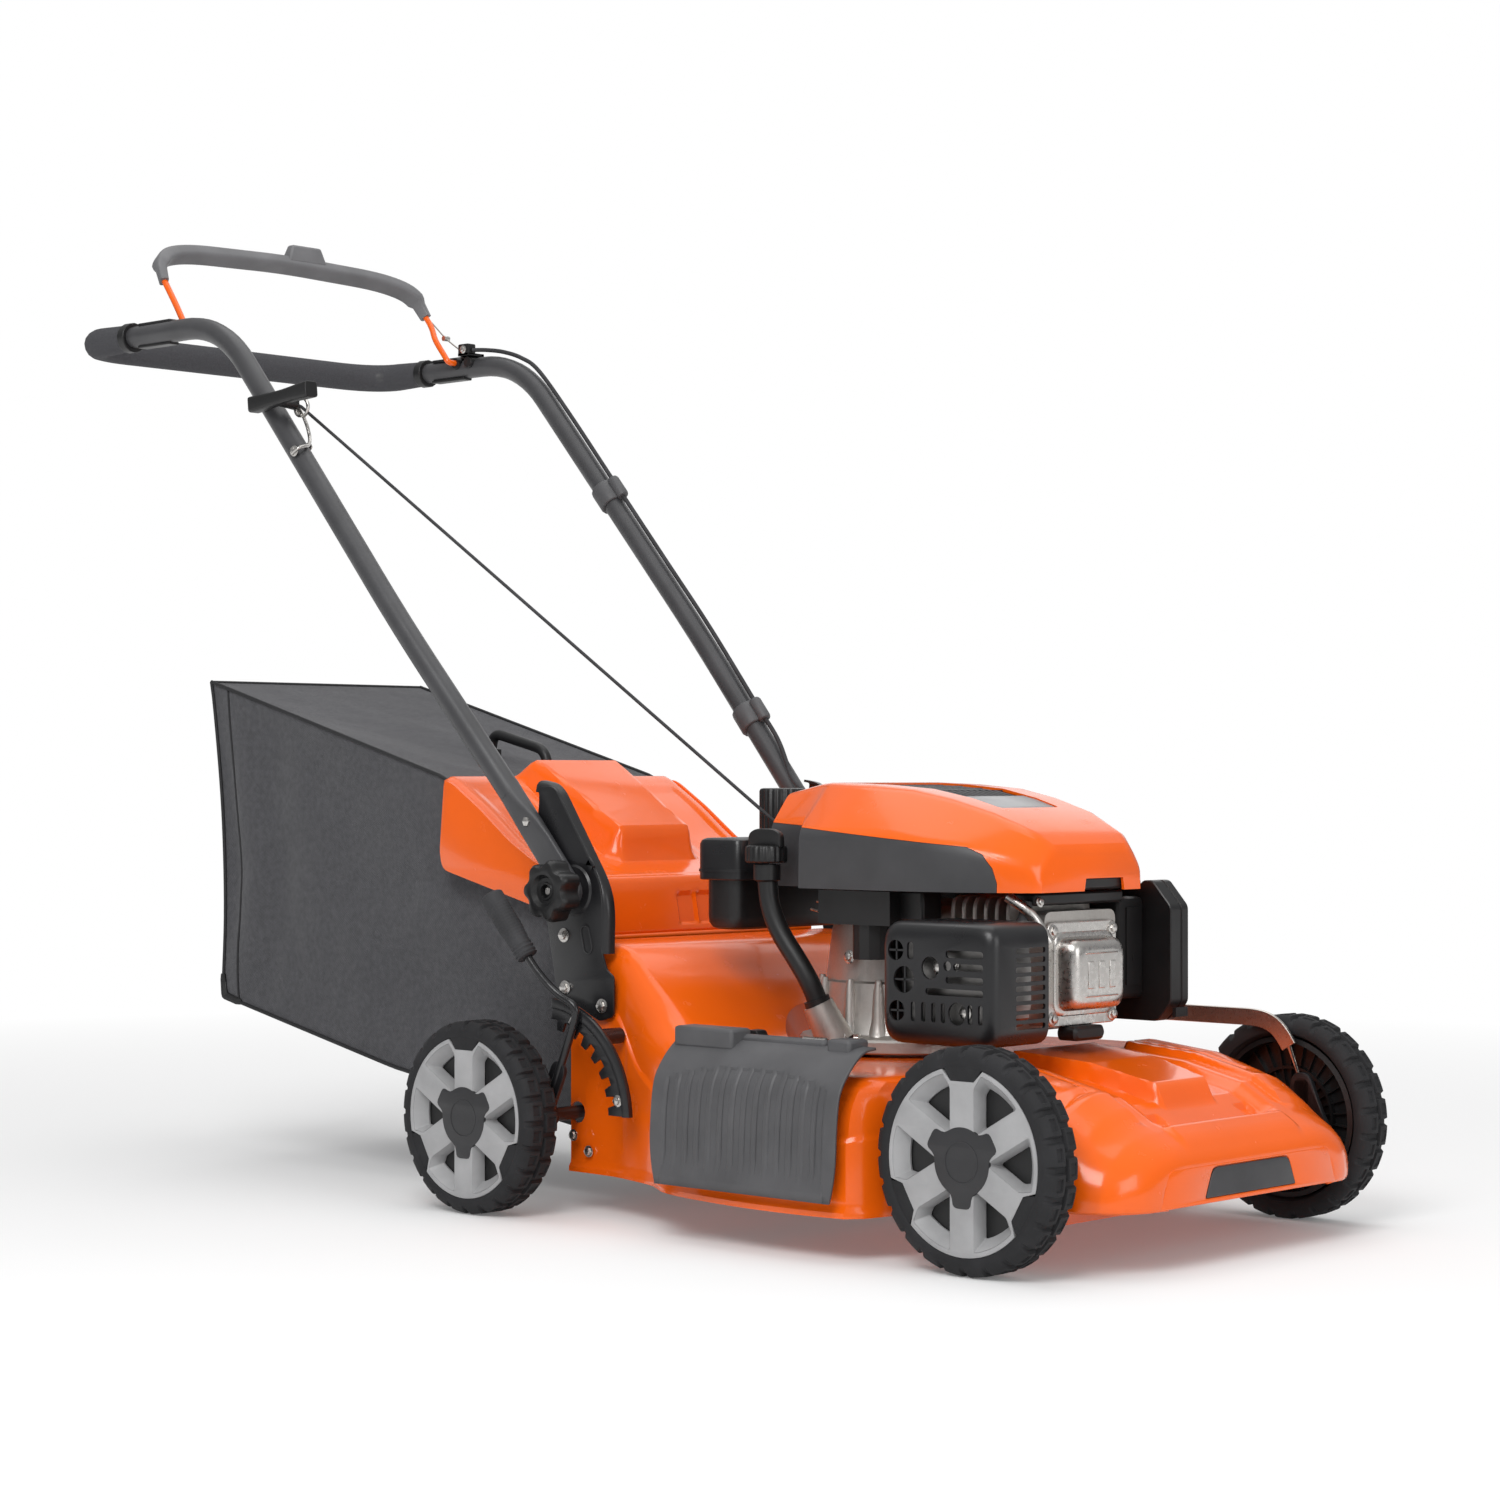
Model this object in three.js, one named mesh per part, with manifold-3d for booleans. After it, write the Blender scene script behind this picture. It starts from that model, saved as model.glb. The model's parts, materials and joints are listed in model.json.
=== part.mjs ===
// Walk-behind petrol lawn mower with a rear grass bag and a side-discharge cover.
// Millimetres, +Z up. The front of the mower points to -Y, its right-hand side to -X.
// Inside the model Y = 0 lies midway between the axles and Z = 0 is the ground; the outer
// group then moves everything so that the origin is below the middle of the whole object.
import * as THREE from "three";
import { mergeVertices } from "three/addons/utils/BufferGeometryUtils.js";
import Module from "manifold-3d";

const wasm = await Module();
wasm.setup();

// ---------- driving dimensions ----------
const gap = 0.4; // clearance between neighbouring pieces
const frontWheel = { radius: 101.5, width: 42, outerX: 272, y: -310, rimRadius: 84 };
const rearWheel = { radius: 97, width: 45, outerX: 301, y: 310, rimRadius: 81 };
const wheelSides = 32;
const stubRadius = 6;
const axleRadius = 7;

// Height adjustment: each wheel pair hangs on a cranked axle, and a link joins the cranks.
const frontPivot = [-372, 84];
const rearPivot = [245, 100];
const linkPin = [27, 51]; // link pin seen from either axle pivot
const linkX = [222, 226];

// Handle: straight side tubes, a level top run and a crossbar.
const tubeRadius = 12.5;
const tubeWall = 1.4;
const handlePivot = [243, 325]; // y, z
const handleLow = [327, 420];
const handleKnee = [486, 600];
const handleTop = [795, 950];
const handleHalfLow = 217;
const handleHalfKnee = 230;
const handleHalfTop = 229;
const crossbarY = 1064;
const crossbarZ = 950;
const foamRadius = 17;
const bailPivot = [897, 956];

const engineY = -10; // crankshaft axis
const deckWall = 3;
const bagHalf = 160;
const bagWall = 5;
const plateThickness = 1; // the insert on the front of the nose

const frontY = -432;
const rearY = crossbarY + foamRadius;
const originY = (frontY + rearY) / 2;

// ---------- geometry helpers ----------
function bare(geometry) {
  const plain = new THREE.BufferGeometry();
  plain.setAttribute("position", geometry.getAttribute("position"));
  if (geometry.index) plain.setIndex(geometry.index);
  return mergeVertices(plain, 1e-4);
}

function toSolid(geometry) {
  const merged = bare(geometry);
  const index = merged.index.array;
  const triangles = [];
  for (let i = 0; i < index.length; i += 3) {
    const [a, b, c] = [index[i], index[i + 1], index[i + 2]];
    if (a !== b && b !== c && c !== a) triangles.push(a, b, c);
  }
  const vertProperties = new Float32Array(merged.attributes.position.array);
  const triVerts = new Uint32Array(triangles);
  return new wasm.Manifold(new wasm.Mesh({ numProp: 3, vertProperties, triVerts }));
}

function toGeometry(solid) {
  const mesh = solid.getMesh();
  const geometry = new THREE.BufferGeometry();
  const positions = new Float32Array(mesh.numVert * 3);
  for (let i = 0; i < mesh.numVert; i++) {
    const start = i * mesh.numProp;
    positions.set(mesh.vertProperties.subarray(start, start + 3), i * 3);
  }
  geometry.setAttribute("position", new THREE.BufferAttribute(positions, 3));
  geometry.setIndex(new THREE.BufferAttribute(new Uint32Array(mesh.triVerts), 1));
  return geometry;
}

function join(...geometries) {
  return toGeometry(geometries.map(toSolid).reduce((sum, next) => sum.add(next)));
}

function cut(body, ...tools) {
  return toGeometry(tools.map(toSolid).reduce((left, tool) => left.subtract(tool), toSolid(body)));
}

function overlap(a, b) {
  return toGeometry(toSolid(a).intersect(toSolid(b)));
}

function box(x0, x1, y0, y1, z0, z1) {
  const geometry = new THREE.BoxGeometry(x1 - x0, y1 - y0, z1 - z0);
  return geometry.translate((x0 + x1) / 2, (y0 + y1) / 2, (z0 + z1) / 2);
}

function cylinderX(x0, x1, [y, z], radius, sides = 16) {
  const geometry = new THREE.CylinderGeometry(radius, radius, x1 - x0, sides);
  return geometry.rotateZ(Math.PI / 2).translate((x0 + x1) / 2, y, z);
}

function cylinderZ(x, y, z0, z1, radius, sides = 24, topRadius = radius) {
  const geometry = new THREE.CylinderGeometry(topRadius, radius, z1 - z0, sides);
  return geometry.rotateX(Math.PI / 2).translate(x, y, (z0 + z1) / 2);
}

// A cylinder between two points.
function rod(from, to, radius, sides = 12) {
  const a = new THREE.Vector3(...from);
  const b = new THREE.Vector3(...to);
  const geometry = new THREE.CylinderGeometry(radius, radius, a.distanceTo(b), sides);
  const direction = b.clone().sub(a).normalize();
  const turn = new THREE.Quaternion().setFromUnitVectors(new THREE.Vector3(0, 1, 0), direction);
  const middle = a.add(b).multiplyScalar(0.5);
  return geometry.applyQuaternion(turn).translate(middle.x, middle.y, middle.z);
}

// The same line as rod(), run on past each end by its own length, for boring right through.
function longRod(from, to, radius) {
  const past = (a, b) => a.map((value, i) => 2 * value - b[i]);
  return rod(past(from, to), past(to, from), radius);
}

function polygon(points) {
  return new THREE.Shape(points.map(([a, b]) => new THREE.Vector2(a, b)));
}

// A polygon whose corners are rounded; the radius shrinks where an edge is short.
function roundedPolygon(points, radius) {
  const corners = points.map(([a, b]) => new THREE.Vector2(a, b));
  const shape = new THREE.Shape();
  corners.forEach((corner, i) => {
    const before = corners.at(i - 1);
    const after = corners[(i + 1) % corners.length];
    const reachIn = Math.min(radius, corner.distanceTo(before) / 2.1);
    const reachOut = Math.min(radius, corner.distanceTo(after) / 2.1);
    const start = corner.clone().lerp(before, reachIn / corner.distanceTo(before));
    const end = corner.clone().lerp(after, reachOut / corner.distanceTo(after));
    if (i === 0) shape.moveTo(start.x, start.y);
    else shape.lineTo(start.x, start.y);
    shape.quadraticCurveTo(corner.x, corner.y, end.x, end.y);
  });
  shape.closePath();
  return shape;
}

// A plate with round ends that joins two points.
function capsule([ax, ay], [bx, by], radius, arcSides = 6) {
  const heading = Math.atan2(by - ay, bx - ax);
  const points = [];
  for (let i = 0; i <= arcSides; i++) {
    const angle = heading - Math.PI / 2 + (Math.PI * i) / arcSides;
    points.push([bx + radius * Math.cos(angle), by + radius * Math.sin(angle)]);
  }
  for (let i = 0; i <= arcSides; i++) {
    const angle = heading + Math.PI / 2 + (Math.PI * i) / arcSides;
    points.push([ax + radius * Math.cos(angle), ay + radius * Math.sin(angle)]);
  }
  return polygon(points);
}

const sideView = new THREE.Matrix4().set(0, 0, 1, 0, 1, 0, 0, 0, 0, 1, 0, 0, 0, 0, 0, 1);
const frontView = new THREE.Matrix4().set(1, 0, 0, 0, 0, 0, -1, 0, 0, 1, 0, 0, 0, 0, 0, 1);

function slab(shape, from, to, curveSegments = 3) {
  const settings = { depth: to - from, bevelEnabled: false, curveSegments };
  return new THREE.ExtrudeGeometry(shape, settings).translate(0, 0, from);
}

// Shapes drawn in (y, z) and given a thickness along X.
function sideSlab(shape, x0, x1, curveSegments) {
  return slab(shape, x0, x1, curveSegments).applyMatrix4(sideView);
}

// Shapes drawn in (x, z) and given a thickness along Y.
function frontSlab(shape, y0, y1, curveSegments) {
  return slab(shape, -y1, -y0, curveSegments).applyMatrix4(frontView);
}

// Straight runs joined by bends, as one curve. A run between two bends is shared by them.
function bentPath(points, bend) {
  const corners = points.map((p) => new THREE.Vector3(...p));
  const last = corners.length - 1;
  const path = new THREE.CurvePath();
  const towards = (from, to) => {
    const length = corners[from].distanceTo(corners[to]);
    const share = to === 0 || to === last ? 1.05 : 2.1;
    return corners[from].clone().lerp(corners[to], Math.min(bend, length / share) / length);
  };
  let start = corners[0];
  for (let i = 1; i < last; i++) {
    const corner = corners[i];
    const enter = towards(i, i - 1);
    const leave = towards(i, i + 1);
    path.add(new THREE.LineCurve3(start, enter));
    path.add(new THREE.QuadraticBezierCurve3(enter, corner, leave));
    start = leave;
  }
  path.add(new THREE.LineCurve3(start, corners[last]));
  return path;
}

function circle(radius, sides) {
  const points = [];
  for (let i = 0; i < sides; i++) {
    const angle = (2 * Math.PI * i) / sides;
    points.push(new THREE.Vector2(radius * Math.cos(angle), radius * Math.sin(angle)));
  }
  return points;
}

function sweep(path, radius, sides, steps, boreRadius = 0) {
  const shape = new THREE.Shape(circle(radius, sides));
  if (boreRadius > 0) shape.holes.push(new THREE.Path(circle(boreRadius, sides)));
  return new THREE.ExtrudeGeometry(shape, { extrudePath: path, steps, bevelEnabled: false });
}

// A surface through rings of equal length, closed at both ends. Each ring runs
// anticlockwise as seen from the first end.
function loft(rings) {
  const size = rings[0].length;
  const positions = rings.flat(2);
  const index = [];
  for (let r = 0; r < rings.length - 1; r++) {
    for (let i = 0; i < size; i++) {
      const next = (i + 1) % size;
      const [a, b] = [r * size + i, r * size + next];
      index.push(a, a + size, b + size, a, b + size, b);
    }
  }
  const last = (rings.length - 1) * size;
  for (let i = 1; i < size - 1; i++) {
    index.push(0, i, i + 1);
    index.push(last, last + i + 1, last + i);
  }
  const geometry = new THREE.BufferGeometry();
  geometry.setAttribute("position", new THREE.Float32BufferAttribute(positions, 3));
  geometry.setIndex(index);
  return geometry;
}

// One cross-section of a hood: upright sides, a quarter-ellipse shoulder and a flat top.
function hoodRing({ y, half, crown, bottom, top, drop }) {
  const right = [[half, bottom]];
  for (const degrees of [0, 30, 60, 90]) {
    const angle = THREE.MathUtils.degToRad(degrees);
    const x = crown + (half - crown) * Math.cos(angle);
    right.push([x, top - drop + drop * Math.sin(angle)]);
  }
  const left = right.map(([x, z]) => [-x, z]).reverse();
  return [...right, ...left].map(([x, z]) => [x, y, z]);
}

// The same hood made smaller by a wall thickness and open below.
function inset(stations, wall) {
  return stations.map((s) => ({
    ...s,
    half: s.half - wall,
    crown: s.crown - wall,
    bottom: s.bottom - 30,
    top: s.top - wall,
  }));
}

function hood(stations) {
  return loft(stations.map(hoodRing));
}

// Mirrors a geometry to the other side of the mower.
function mirrored(geometry) {
  const copy = geometry.index ? geometry.toNonIndexed() : geometry.clone();
  const position = copy.getAttribute("position");
  for (let i = 0; i < position.count; i += 3) {
    const corner = [0, 1, 2].map((k) => new THREE.Vector3().fromBufferAttribute(position, i + k));
    [0, 2, 1].forEach((from, k) => {
      position.setXYZ(i + k, -corner[from].x, corner[from].y, corner[from].z);
    });
  }
  return copy;
}

// ---------- materials ----------
const finishes = {
  orange: { color: 0xf26522, roughness: 0.25, metalness: 0 },
  blackPlastic: { color: 0x1b1b1c, roughness: 0.6, metalness: 0 },
  greyPlastic: { color: 0x4a4b4d, roughness: 0.6, metalness: 0 },
  silverPlastic: { color: 0xb9babc, roughness: 0.45, metalness: 0.1 },
  rubber: { color: 0x2b2b2c, roughness: 0.85, metalness: 0 },
  handlePaint: { color: 0x3a3b3d, roughness: 0.45, metalness: 0.3 },
  steel: { color: 0xb8b4b0, roughness: 0.35, metalness: 1 },
  castAluminium: { color: 0xa9a6a2, roughness: 0.5, metalness: 0.9 },
  fabric: { color: 0x47484a, roughness: 0.95, metalness: 0 },
  foam: { color: 0x3d3e40, roughness: 0.9, metalness: 0 },
};

const mower = new THREE.Group();
mower.position.y = -originY;

function add(name, geometry, finish) {
  const flat = geometry.index ? geometry.toNonIndexed() : geometry;
  flat.computeVertexNormals();
  const mesh = new THREE.Mesh(flat, new THREE.MeshStandardMaterial(finishes[finish]));
  mesh.name = name;
  mower.add(mesh);
}

// ---------- deck and covers ----------
// Cross-sections of the pressed deck from front to rear. It flares out behind the front
// wheels, and its rear half rises into the tunnel that feeds the grass bag.
const deckStations = [
  { y: -350, half: 186, crown: 150, top: 104, drop: 30 },
  { y: -300, half: 203, crown: 165, top: 128, drop: 35 },
  { y: -203, half: 204, crown: 165, top: 156, drop: 40 },
  { y: -196, half: 262, crown: 220, top: 163, drop: 45 },
  { y: -180, half: 279, crown: 236, top: 165, drop: 50 },
  { y: -82, half: 284, crown: 240, top: 165, drop: 50 },
  { y: 20, half: 272, crown: 222, top: 167, drop: 50 },
  { y: 70, half: 256, crown: 194, top: 180, drop: 60 },
  { y: 110, half: 230, crown: 184, top: 206, drop: 70 },
  { y: 150, half: 216, crown: 186, top: 238, drop: 80 },
  { y: 190, half: 206, crown: 182, top: 268, drop: 60 },
  { y: 255, half: 203, crown: 180, top: 272, drop: 50 },
].map((s) => ({ ...s, bottom: 40 }));

function sideChuteHole() {
  return box(-300, -255, -165, 40, 62, 128);
}

// The engine's flange stands in a round recess where the deck begins to rise.
function deck() {
  const innerStations = inset(deckStations, deckWall);
  innerStations[0].y += deckWall;
  innerStations.at(-1).y += 15;
  const outer = cut(hood(deckStations), cylinderZ(0, engineY, 168, 300, 104, 32));
  const inner = cut(hood(innerStations), cylinderZ(0, engineY, 168 - deckWall, 300, 107, 32));
  const shaftHole = cylinderZ(0, engineY, 100, 220, 30);
  const axleHole = cylinderX(-260, 260, rearPivot, axleRadius + 3);
  return cut(outer, inner, shaftHole, axleHole, sideChuteHole());
}

// The nose cover sits over the front of the deck and hides the front axle.
const noseStations = [
  { y: frontY + plateThickness + gap, half: 140, crown: 100, top: 96, drop: 24 },
  { y: -425, half: 165, crown: 110, top: 108, drop: 36 },
  { y: -405, half: 195, crown: 112, top: 122, drop: 54 },
  { y: -385, half: 207, crown: 115, top: 131, drop: 62 },
  { y: -354, half: 211, crown: 125, top: 150, drop: 62 },
  { y: -285, half: 213, crown: 145, top: 165, drop: 46 },
  { y: -205, half: 213, crown: 155, top: 172, drop: 36 },
].map((s) => ({ ...s, bottom: 56 }));

function frontCover() {
  const inner = inset(noseStations, deckWall);
  for (const station of inner.slice(0, 4)) station.y += deckWall;
  inner.at(-1).y += 15;
  const axleHole = cylinderX(-230, 230, frontPivot, axleRadius + 3);
  return cut(hood(noseStations), hood(inner), axleHole);
}

function frontInsert() {
  const outline = polygon([[-72, 62], [72, 62], [60, 88], [-60, 88]]);
  return frontSlab(outline, frontY, frontY + plateThickness);
}

// Swinging cover over the side opening.
function chuteCover() {
  const outer = [[-236, 190], [-262, 182], [-286, 152], [-292, 54]];
  const inner = [[-288.4, 54], [-282.6, 150], [-260, 178.4], [-236, 186.2]];
  return frontSlab(polygon([...outer, ...inner]), -182, 54);
}

// Side plate that carries the handle's pivot, with a stiffening flange turned inwards.
function handleBracket() {
  const outline = [[290, 436], [268, 430], [202, 332], [194, 310], [195, 262], [184, 240],
    [186, 200], [206, 194], [268, 222], [282, 290], [300, 384]];
  const plate = sideSlab(polygon(outline), -211, -208);
  const edge = [[284, 433], [270, 429], [204, 331], [196, 309], [197, 264],
    [201, 264], [200, 308], [208, 329], [272, 424], [284, 428]];
  const flange = sideSlab(polygon(edge), -209, -198);
  const knobHole = cylinderX(-220, -190, handlePivot, 5);
  const diamond = [[214, 350], [221, 341], [228, 350], [221, 359]];
  const window = sideSlab(polygon(diamond), -220, -190);
  return cut(join(plate, flange), knobHole, window);
}

// Toothed arc that the height lever drops into, on a boss against the deck.
function heightQuadrant() {
  const outline = [];
  const [cy, cz] = rearPivot;
  const spot = (radius, degrees) => {
    const angle = THREE.MathUtils.degToRad(degrees);
    return [cy + radius * Math.cos(angle), cz + radius * Math.sin(angle)];
  };
  for (let d = 96; d <= 176; d += 8) outline.push(spot(117, d));
  for (let d = 176; d > 100; d -= 12) {
    outline.push(spot(88, d), spot(88, d - 5), spot(97, d - 6), spot(97, d - 11));
  }
  const arc = sideSlab(polygon(outline), -245.5, -242);
  const boss = cylinderX(-243, -212, spot(107, 130), 7);
  return join(arc, boss);
}

// ---------- engine ----------
function engineBlock() {
  const flange = cylinderZ(0, engineY, 168.6, 184, 100, 32);
  const bell = cylinderZ(0, engineY, 183, 300, 84, 20, 62);
  const cylinder = box(-52, 52, -200, engineY, 205, 318);
  const fins = [];
  for (let i = 0; i < 5; i++) {
    const y = -200 + i * 16;
    fins.push(box(-64, 64, y, y + 5, 196, 326));
  }
  const head = box(-56, 56, -236, -205, 203, 312);
  const headNeck = box(-40, 40, -210, -190, 210, 300);
  const fillerBoss = rod([-113.3, -2.2, 216.3], [-103.5, -12, 182], 15, 12);
  const shaftBore = cylinderZ(0, engineY, 100, 400, 13, 16);
  const pieces = [flange, bell, cylinder, ...fins, head, headNeck, fillerBoss];
  return cut(join(...pieces), shaftBore);
}

function valveCover() {
  const plate = frontSlab(roundedPolygon([[-56, 203], [52, 203], [52, 302], [-56, 302]], 10), -240, -236.4);
  const bulge = frontSlab(roundedPolygon([[-43, 217], [42, 217], [42, 288], [-43, 288]], 12), -262, -239);
  return join(plate, bulge);
}

const guard = { x: [-186, -104], y: [-278, -142], z: [192, 306], wall: 3 };

function guardSlots() {
  const slots = [];
  for (let i = 0; i < 4; i++) {
    const z = 222 + i * 18;
    slots.push(box(guard.x[0] - 5, guard.x[0] + 8, -255, -215, z, z + 6));
    slots.push(box(-160, -128, guard.y[0] - 5, guard.y[0] + 8, z, z + 7));
  }
  return slots;
}

function mufflerGuard() {
  const [x0, x1] = guard.x;
  const [y0, y1] = guard.y;
  const [z0, z1] = guard.z;
  const t = guard.wall;
  const outline = (m) => [[y0 + m, z0 + m], [y1 - m, z0 + m], [y1 - m, z1 - m], [y0 + m, z1 - m]];
  const outer = sideSlab(roundedPolygon(outline(0), 18), x0, x1);
  const inner = sideSlab(roundedPolygon(outline(t), 16), x0 + t, x1 + 5);
  const vent = cylinderX(x0 - 5, x0 + 8, [-165, 250], 10, 12);
  return cut(outer, inner, vent, ...guardSlots());
}

function muffler() {
  const outline = [[-262, 206], [-158, 206], [-158, 292], [-262, 292]];
  return sideSlab(roundedPolygon(outline, 24), -172, -110);
}

// Engine shroud from front to rear; one shell gives the painted hood and the side band.
const shroudStations = [
  { y: -250, half: 80, crown: 60, top: 370, drop: 20 },
  { y: -236, half: 92, crown: 68, top: 386, drop: 26 },
  { y: -190, half: 120, crown: 82, top: 405, drop: 30 },
  { y: -100, half: 134, crown: 88, top: 428, drop: 40 },
  { y: 4, half: 137, crown: 86, top: 434, drop: 44 },
  { y: 30, half: 103, crown: 74, top: 433, drop: 34 },
  { y: 76, half: 99, crown: 70, top: 424, drop: 32 },
  { y: 88, half: 84, crown: 60, top: 404, drop: 26 },
].map((s) => ({ ...s, bottom: 331 }));

function shroud() {
  const inner = inset(shroudStations, 3);
  inner[0].y += 3;
  inner.at(-1).y -= 3;
  return cut(hood(shroudStations), hood(inner));
}

// The region of the side band: below a line that falls towards the front.
function bandRegion(margin) {
  const outline = [[120, 320], [-216 + margin, 320], [-206 + margin, 366 - margin],
    [-190, 374 - margin], [0, 390 - margin], [120, 396 - margin]];
  return sideSlab(polygon(outline), -200, 200);
}

function airFilterCover() {
  const outline = [[-262, 219], [-245, 200], [-112, 200], [-112, 330], [-222, 330], [-228, 338],
    [-240, 338], [-262, 313]];
  return sideSlab(polygon(outline), 112, 150);
}

function airFilterBase() {
  return box(72, 112 - gap, -228, -124, 222, 322);
}

function carburettor() {
  return join(box(-112, -64.5, -92, 0, 296, 329), cylinderZ(-88, -50, 262, 298, 20, 12));
}

function fuelTank() {
  const body = slab(roundedPolygon([[-122, 98], [90, 98], [90, 146], [-122, 146]], 12), 286, 338);
  const lip = slab(roundedPolygon([[-128, 92], [98, 92], [98, 151], [-128, 151]], 10), 336, 378);
  return join(body, lip);
}

function fillerTube() {
  const route = bentPath([[-131, 52, 353], [-131, 46, 300], [-121, 6, 244], [-113.5, -2, 217]], 30);
  return sweep(route, 10, 10, 14);
}

function fillerCap() {
  const collar = cylinderZ(-131, 52, 355, 372, 21, 20);
  const grip = box(-134.5, -127.5, 30, 74, 370, 388);
  return join(collar, grip);
}

function fuelCap() {
  return cylinderZ(-30, 122, 378 + gap, 428, 24, 20, 20);
}

function sparkPlugBoot() {
  return rod([-78, -222, 270], [-72, -226, 322], 8, 10);
}

// Crankshaft with the adapter that carries the blade.
function crankshaft() {
  const profile = [[0, 62], [26, 62], [26, 70], [15, 76], [15, 92], [11, 94], [11, 336], [0, 336]];
  const points = profile.map(([r, z]) => new THREE.Vector2(r, z));
  return new THREE.LatheGeometry(points, 16).rotateX(Math.PI / 2).translate(0, engineY, 0);
}

function flywheel() {
  const bowl = cylinderZ(0, engineY, 338, 362, 88, 32);
  const hub = cylinderZ(0, engineY, 336.5, 340, 20, 16);
  return join(bowl, hub);
}

function blade() {
  const outline = [[-250, -28], [-235, -28], [-60, -26], [60, -26], [235, -28], [250, -28],
    [250, 4], [225, 20], [60, 26], [-60, 26], [-225, 28], [-250, 28]];
  const bar = slab(roundedPolygon(outline, 5), 57.5, 61.5).translate(0, engineY, 0);
  const wings = [-1, 1].map((side) => {
    const lift = box(195, 248, 10, 14, 58, 72).rotateZ(side < 0 ? Math.PI : 0);
    return lift.translate(0, engineY, 0);
  });
  return join(bar, ...wings);
}

function bladeBolt() {
  const head = cylinderZ(0, engineY, 47, 55, 11, 6);
  const washer = cylinderZ(0, engineY, 54.5, 57.1, 17, 16);
  return join(head, washer);
}

// ---------- wheels, axles and height adjustment ----------
function revolve(profile, sides) {
  const points = [...profile, profile[0]].map(([r, x]) => new THREE.Vector2(r, x));
  return new THREE.LatheGeometry(points, sides, Math.PI / sides).rotateZ(-Math.PI / 2);
}

function tyre({ radius, width, rimRadius }) {
  const outer = radius / Math.cos(Math.PI / wheelSides); // flats touch the ground
  const w = width / 2;
  const seat = rimRadius + 0.8;
  return revolve([[seat, 2 - w], [outer - 6, -w], [outer, 8 - w], [outer, w - 8], [outer - 6, w],
    [seat, w - 2]], wheelSides);
}

function rimWindow(index, rimRadius) {
  const middle = (Math.PI / 3) * (index + 0.5);
  const spot = (radius, offset) => [radius * Math.cos(middle + offset), radius * Math.sin(middle + offset)];
  const outer = rimRadius - 14;
  const outline = [spot(38, -0.1), spot(outer, -0.28), spot(outer + 2, 0), spot(outer, 0.28), spot(38, 0.1)];
  return sideSlab(polygon(outline), -5, 30);
}

function rim({ width, rimRadius }) {
  const w = width / 2;
  const disc = revolve([[6.7, 2 - w], [17, 2 - w], [17, 5], [rimRadius - 3, 5], [rimRadius - 3, 4 - w],
    [rimRadius, 4 - w], [rimRadius, w - 3], [rimRadius - 8, 10], [26, 12], [26, w - 5],
    [6.7, w - 5]], wheelSides);
  const windows = [0, 1, 2, 3, 4, 5].map((i) => rimWindow(i, rimRadius));
  return cut(disc, ...windows);
}

function hubCap({ width }) {
  const outline = [];
  for (let i = 0; i < 24; i++) {
    const angle = (2 * Math.PI * i) / 24;
    const radius = 24 + 4 * Math.cos(3 * angle + Math.PI / 2);
    outline.push([radius * Math.cos(angle), radius * Math.sin(angle)]);
  }
  return sideSlab(polygon(outline), width / 2 - 5 + gap, width / 2 - 1);
}

function addWheel(name, wheel, side) {
  const place = (geometry) => {
    const turned = side < 0 ? geometry.rotateZ(Math.PI) : geometry;
    return turned.translate(side * (wheel.outerX - wheel.width / 2), wheel.y, wheel.radius);
  };
  add(name + "_tyre", place(tyre(wheel)), "rubber");
  add(name + "_rim", place(rim(wheel)), "silverPlastic");
  add(name + "_hub_cap", place(hubCap(wheel)), "greyPlastic");
}

// A cross tube with a crank arm and a stub at each end. armX is the arms' inner face.
function crankedAxle(pivot, wheel, armX) {
  const armOut = armX + 6;
  const stub = [wheel.y, wheel.radius];
  const stubEnd = wheel.outerX - 6;
  const tube = cylinderX(-armOut, armOut, pivot, axleRadius);
  const arms = [-1, 1].map((side) => {
    const [x0, x1] = side < 0 ? [-armOut, -armX] : [armX, armOut];
    return sideSlab(capsule(pivot, stub, 12), x0, x1);
  });
  const stubs = [-1, 1].map((side) => {
    const [x0, x1] = side < 0 ? [-stubEnd, -armX - 1] : [armX + 1, stubEnd];
    return cylinderX(x0, x1, stub, stubRadius, 12);
  });
  return join(tube, ...arms, ...stubs);
}

function pinOf([y, z]) {
  return [y + linkPin[0], z + linkPin[1]];
}

function frontAxle() {
  const lobe = sideSlab(capsule(frontPivot, pinOf(frontPivot), 9), 214.5, 220.5);
  const pin = cylinderX(220, 228, pinOf(frontPivot), 4, 12);
  return join(crankedAxle(frontPivot, frontWheel, 214.5), lobe, pin);
}

function rearAxle() {
  const lobe = sideSlab(capsule(rearPivot, pinOf(rearPivot), 9), 228, 234);
  const pin = cylinderX(219, 229, pinOf(rearPivot), 4, 12);
  const leverHub = cylinderX(-253, -245, rearPivot, axleRadius);
  return join(crankedAxle(rearPivot, rearWheel, 240), lobe, pin, leverHub);
}

// Flat bar that carries the rear crank's turn to the front crank.
function linkRod() {
  const front = pinOf(frontPivot);
  const rear = pinOf(rearPivot);
  const centre = [front, [-318, 186], [-296, 200], [218, 200], [240, 190], rear];
  const pieces = centre.slice(1).map((point, i) => sideSlab(capsule(centre[i], point, 8.5), ...linkX));
  const holes = [front, rear].map((pin) => cylinderX(200, 240, pin, 4.7, 12));
  return cut(join(...pieces), ...holes);
}

const leverRoute = [[-250, 236, 120], [-250, 219, 156], [-250, 195, 211], [-256, 222, 224],
  [-266, 241, 247], [-279, 284, 311]];

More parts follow.
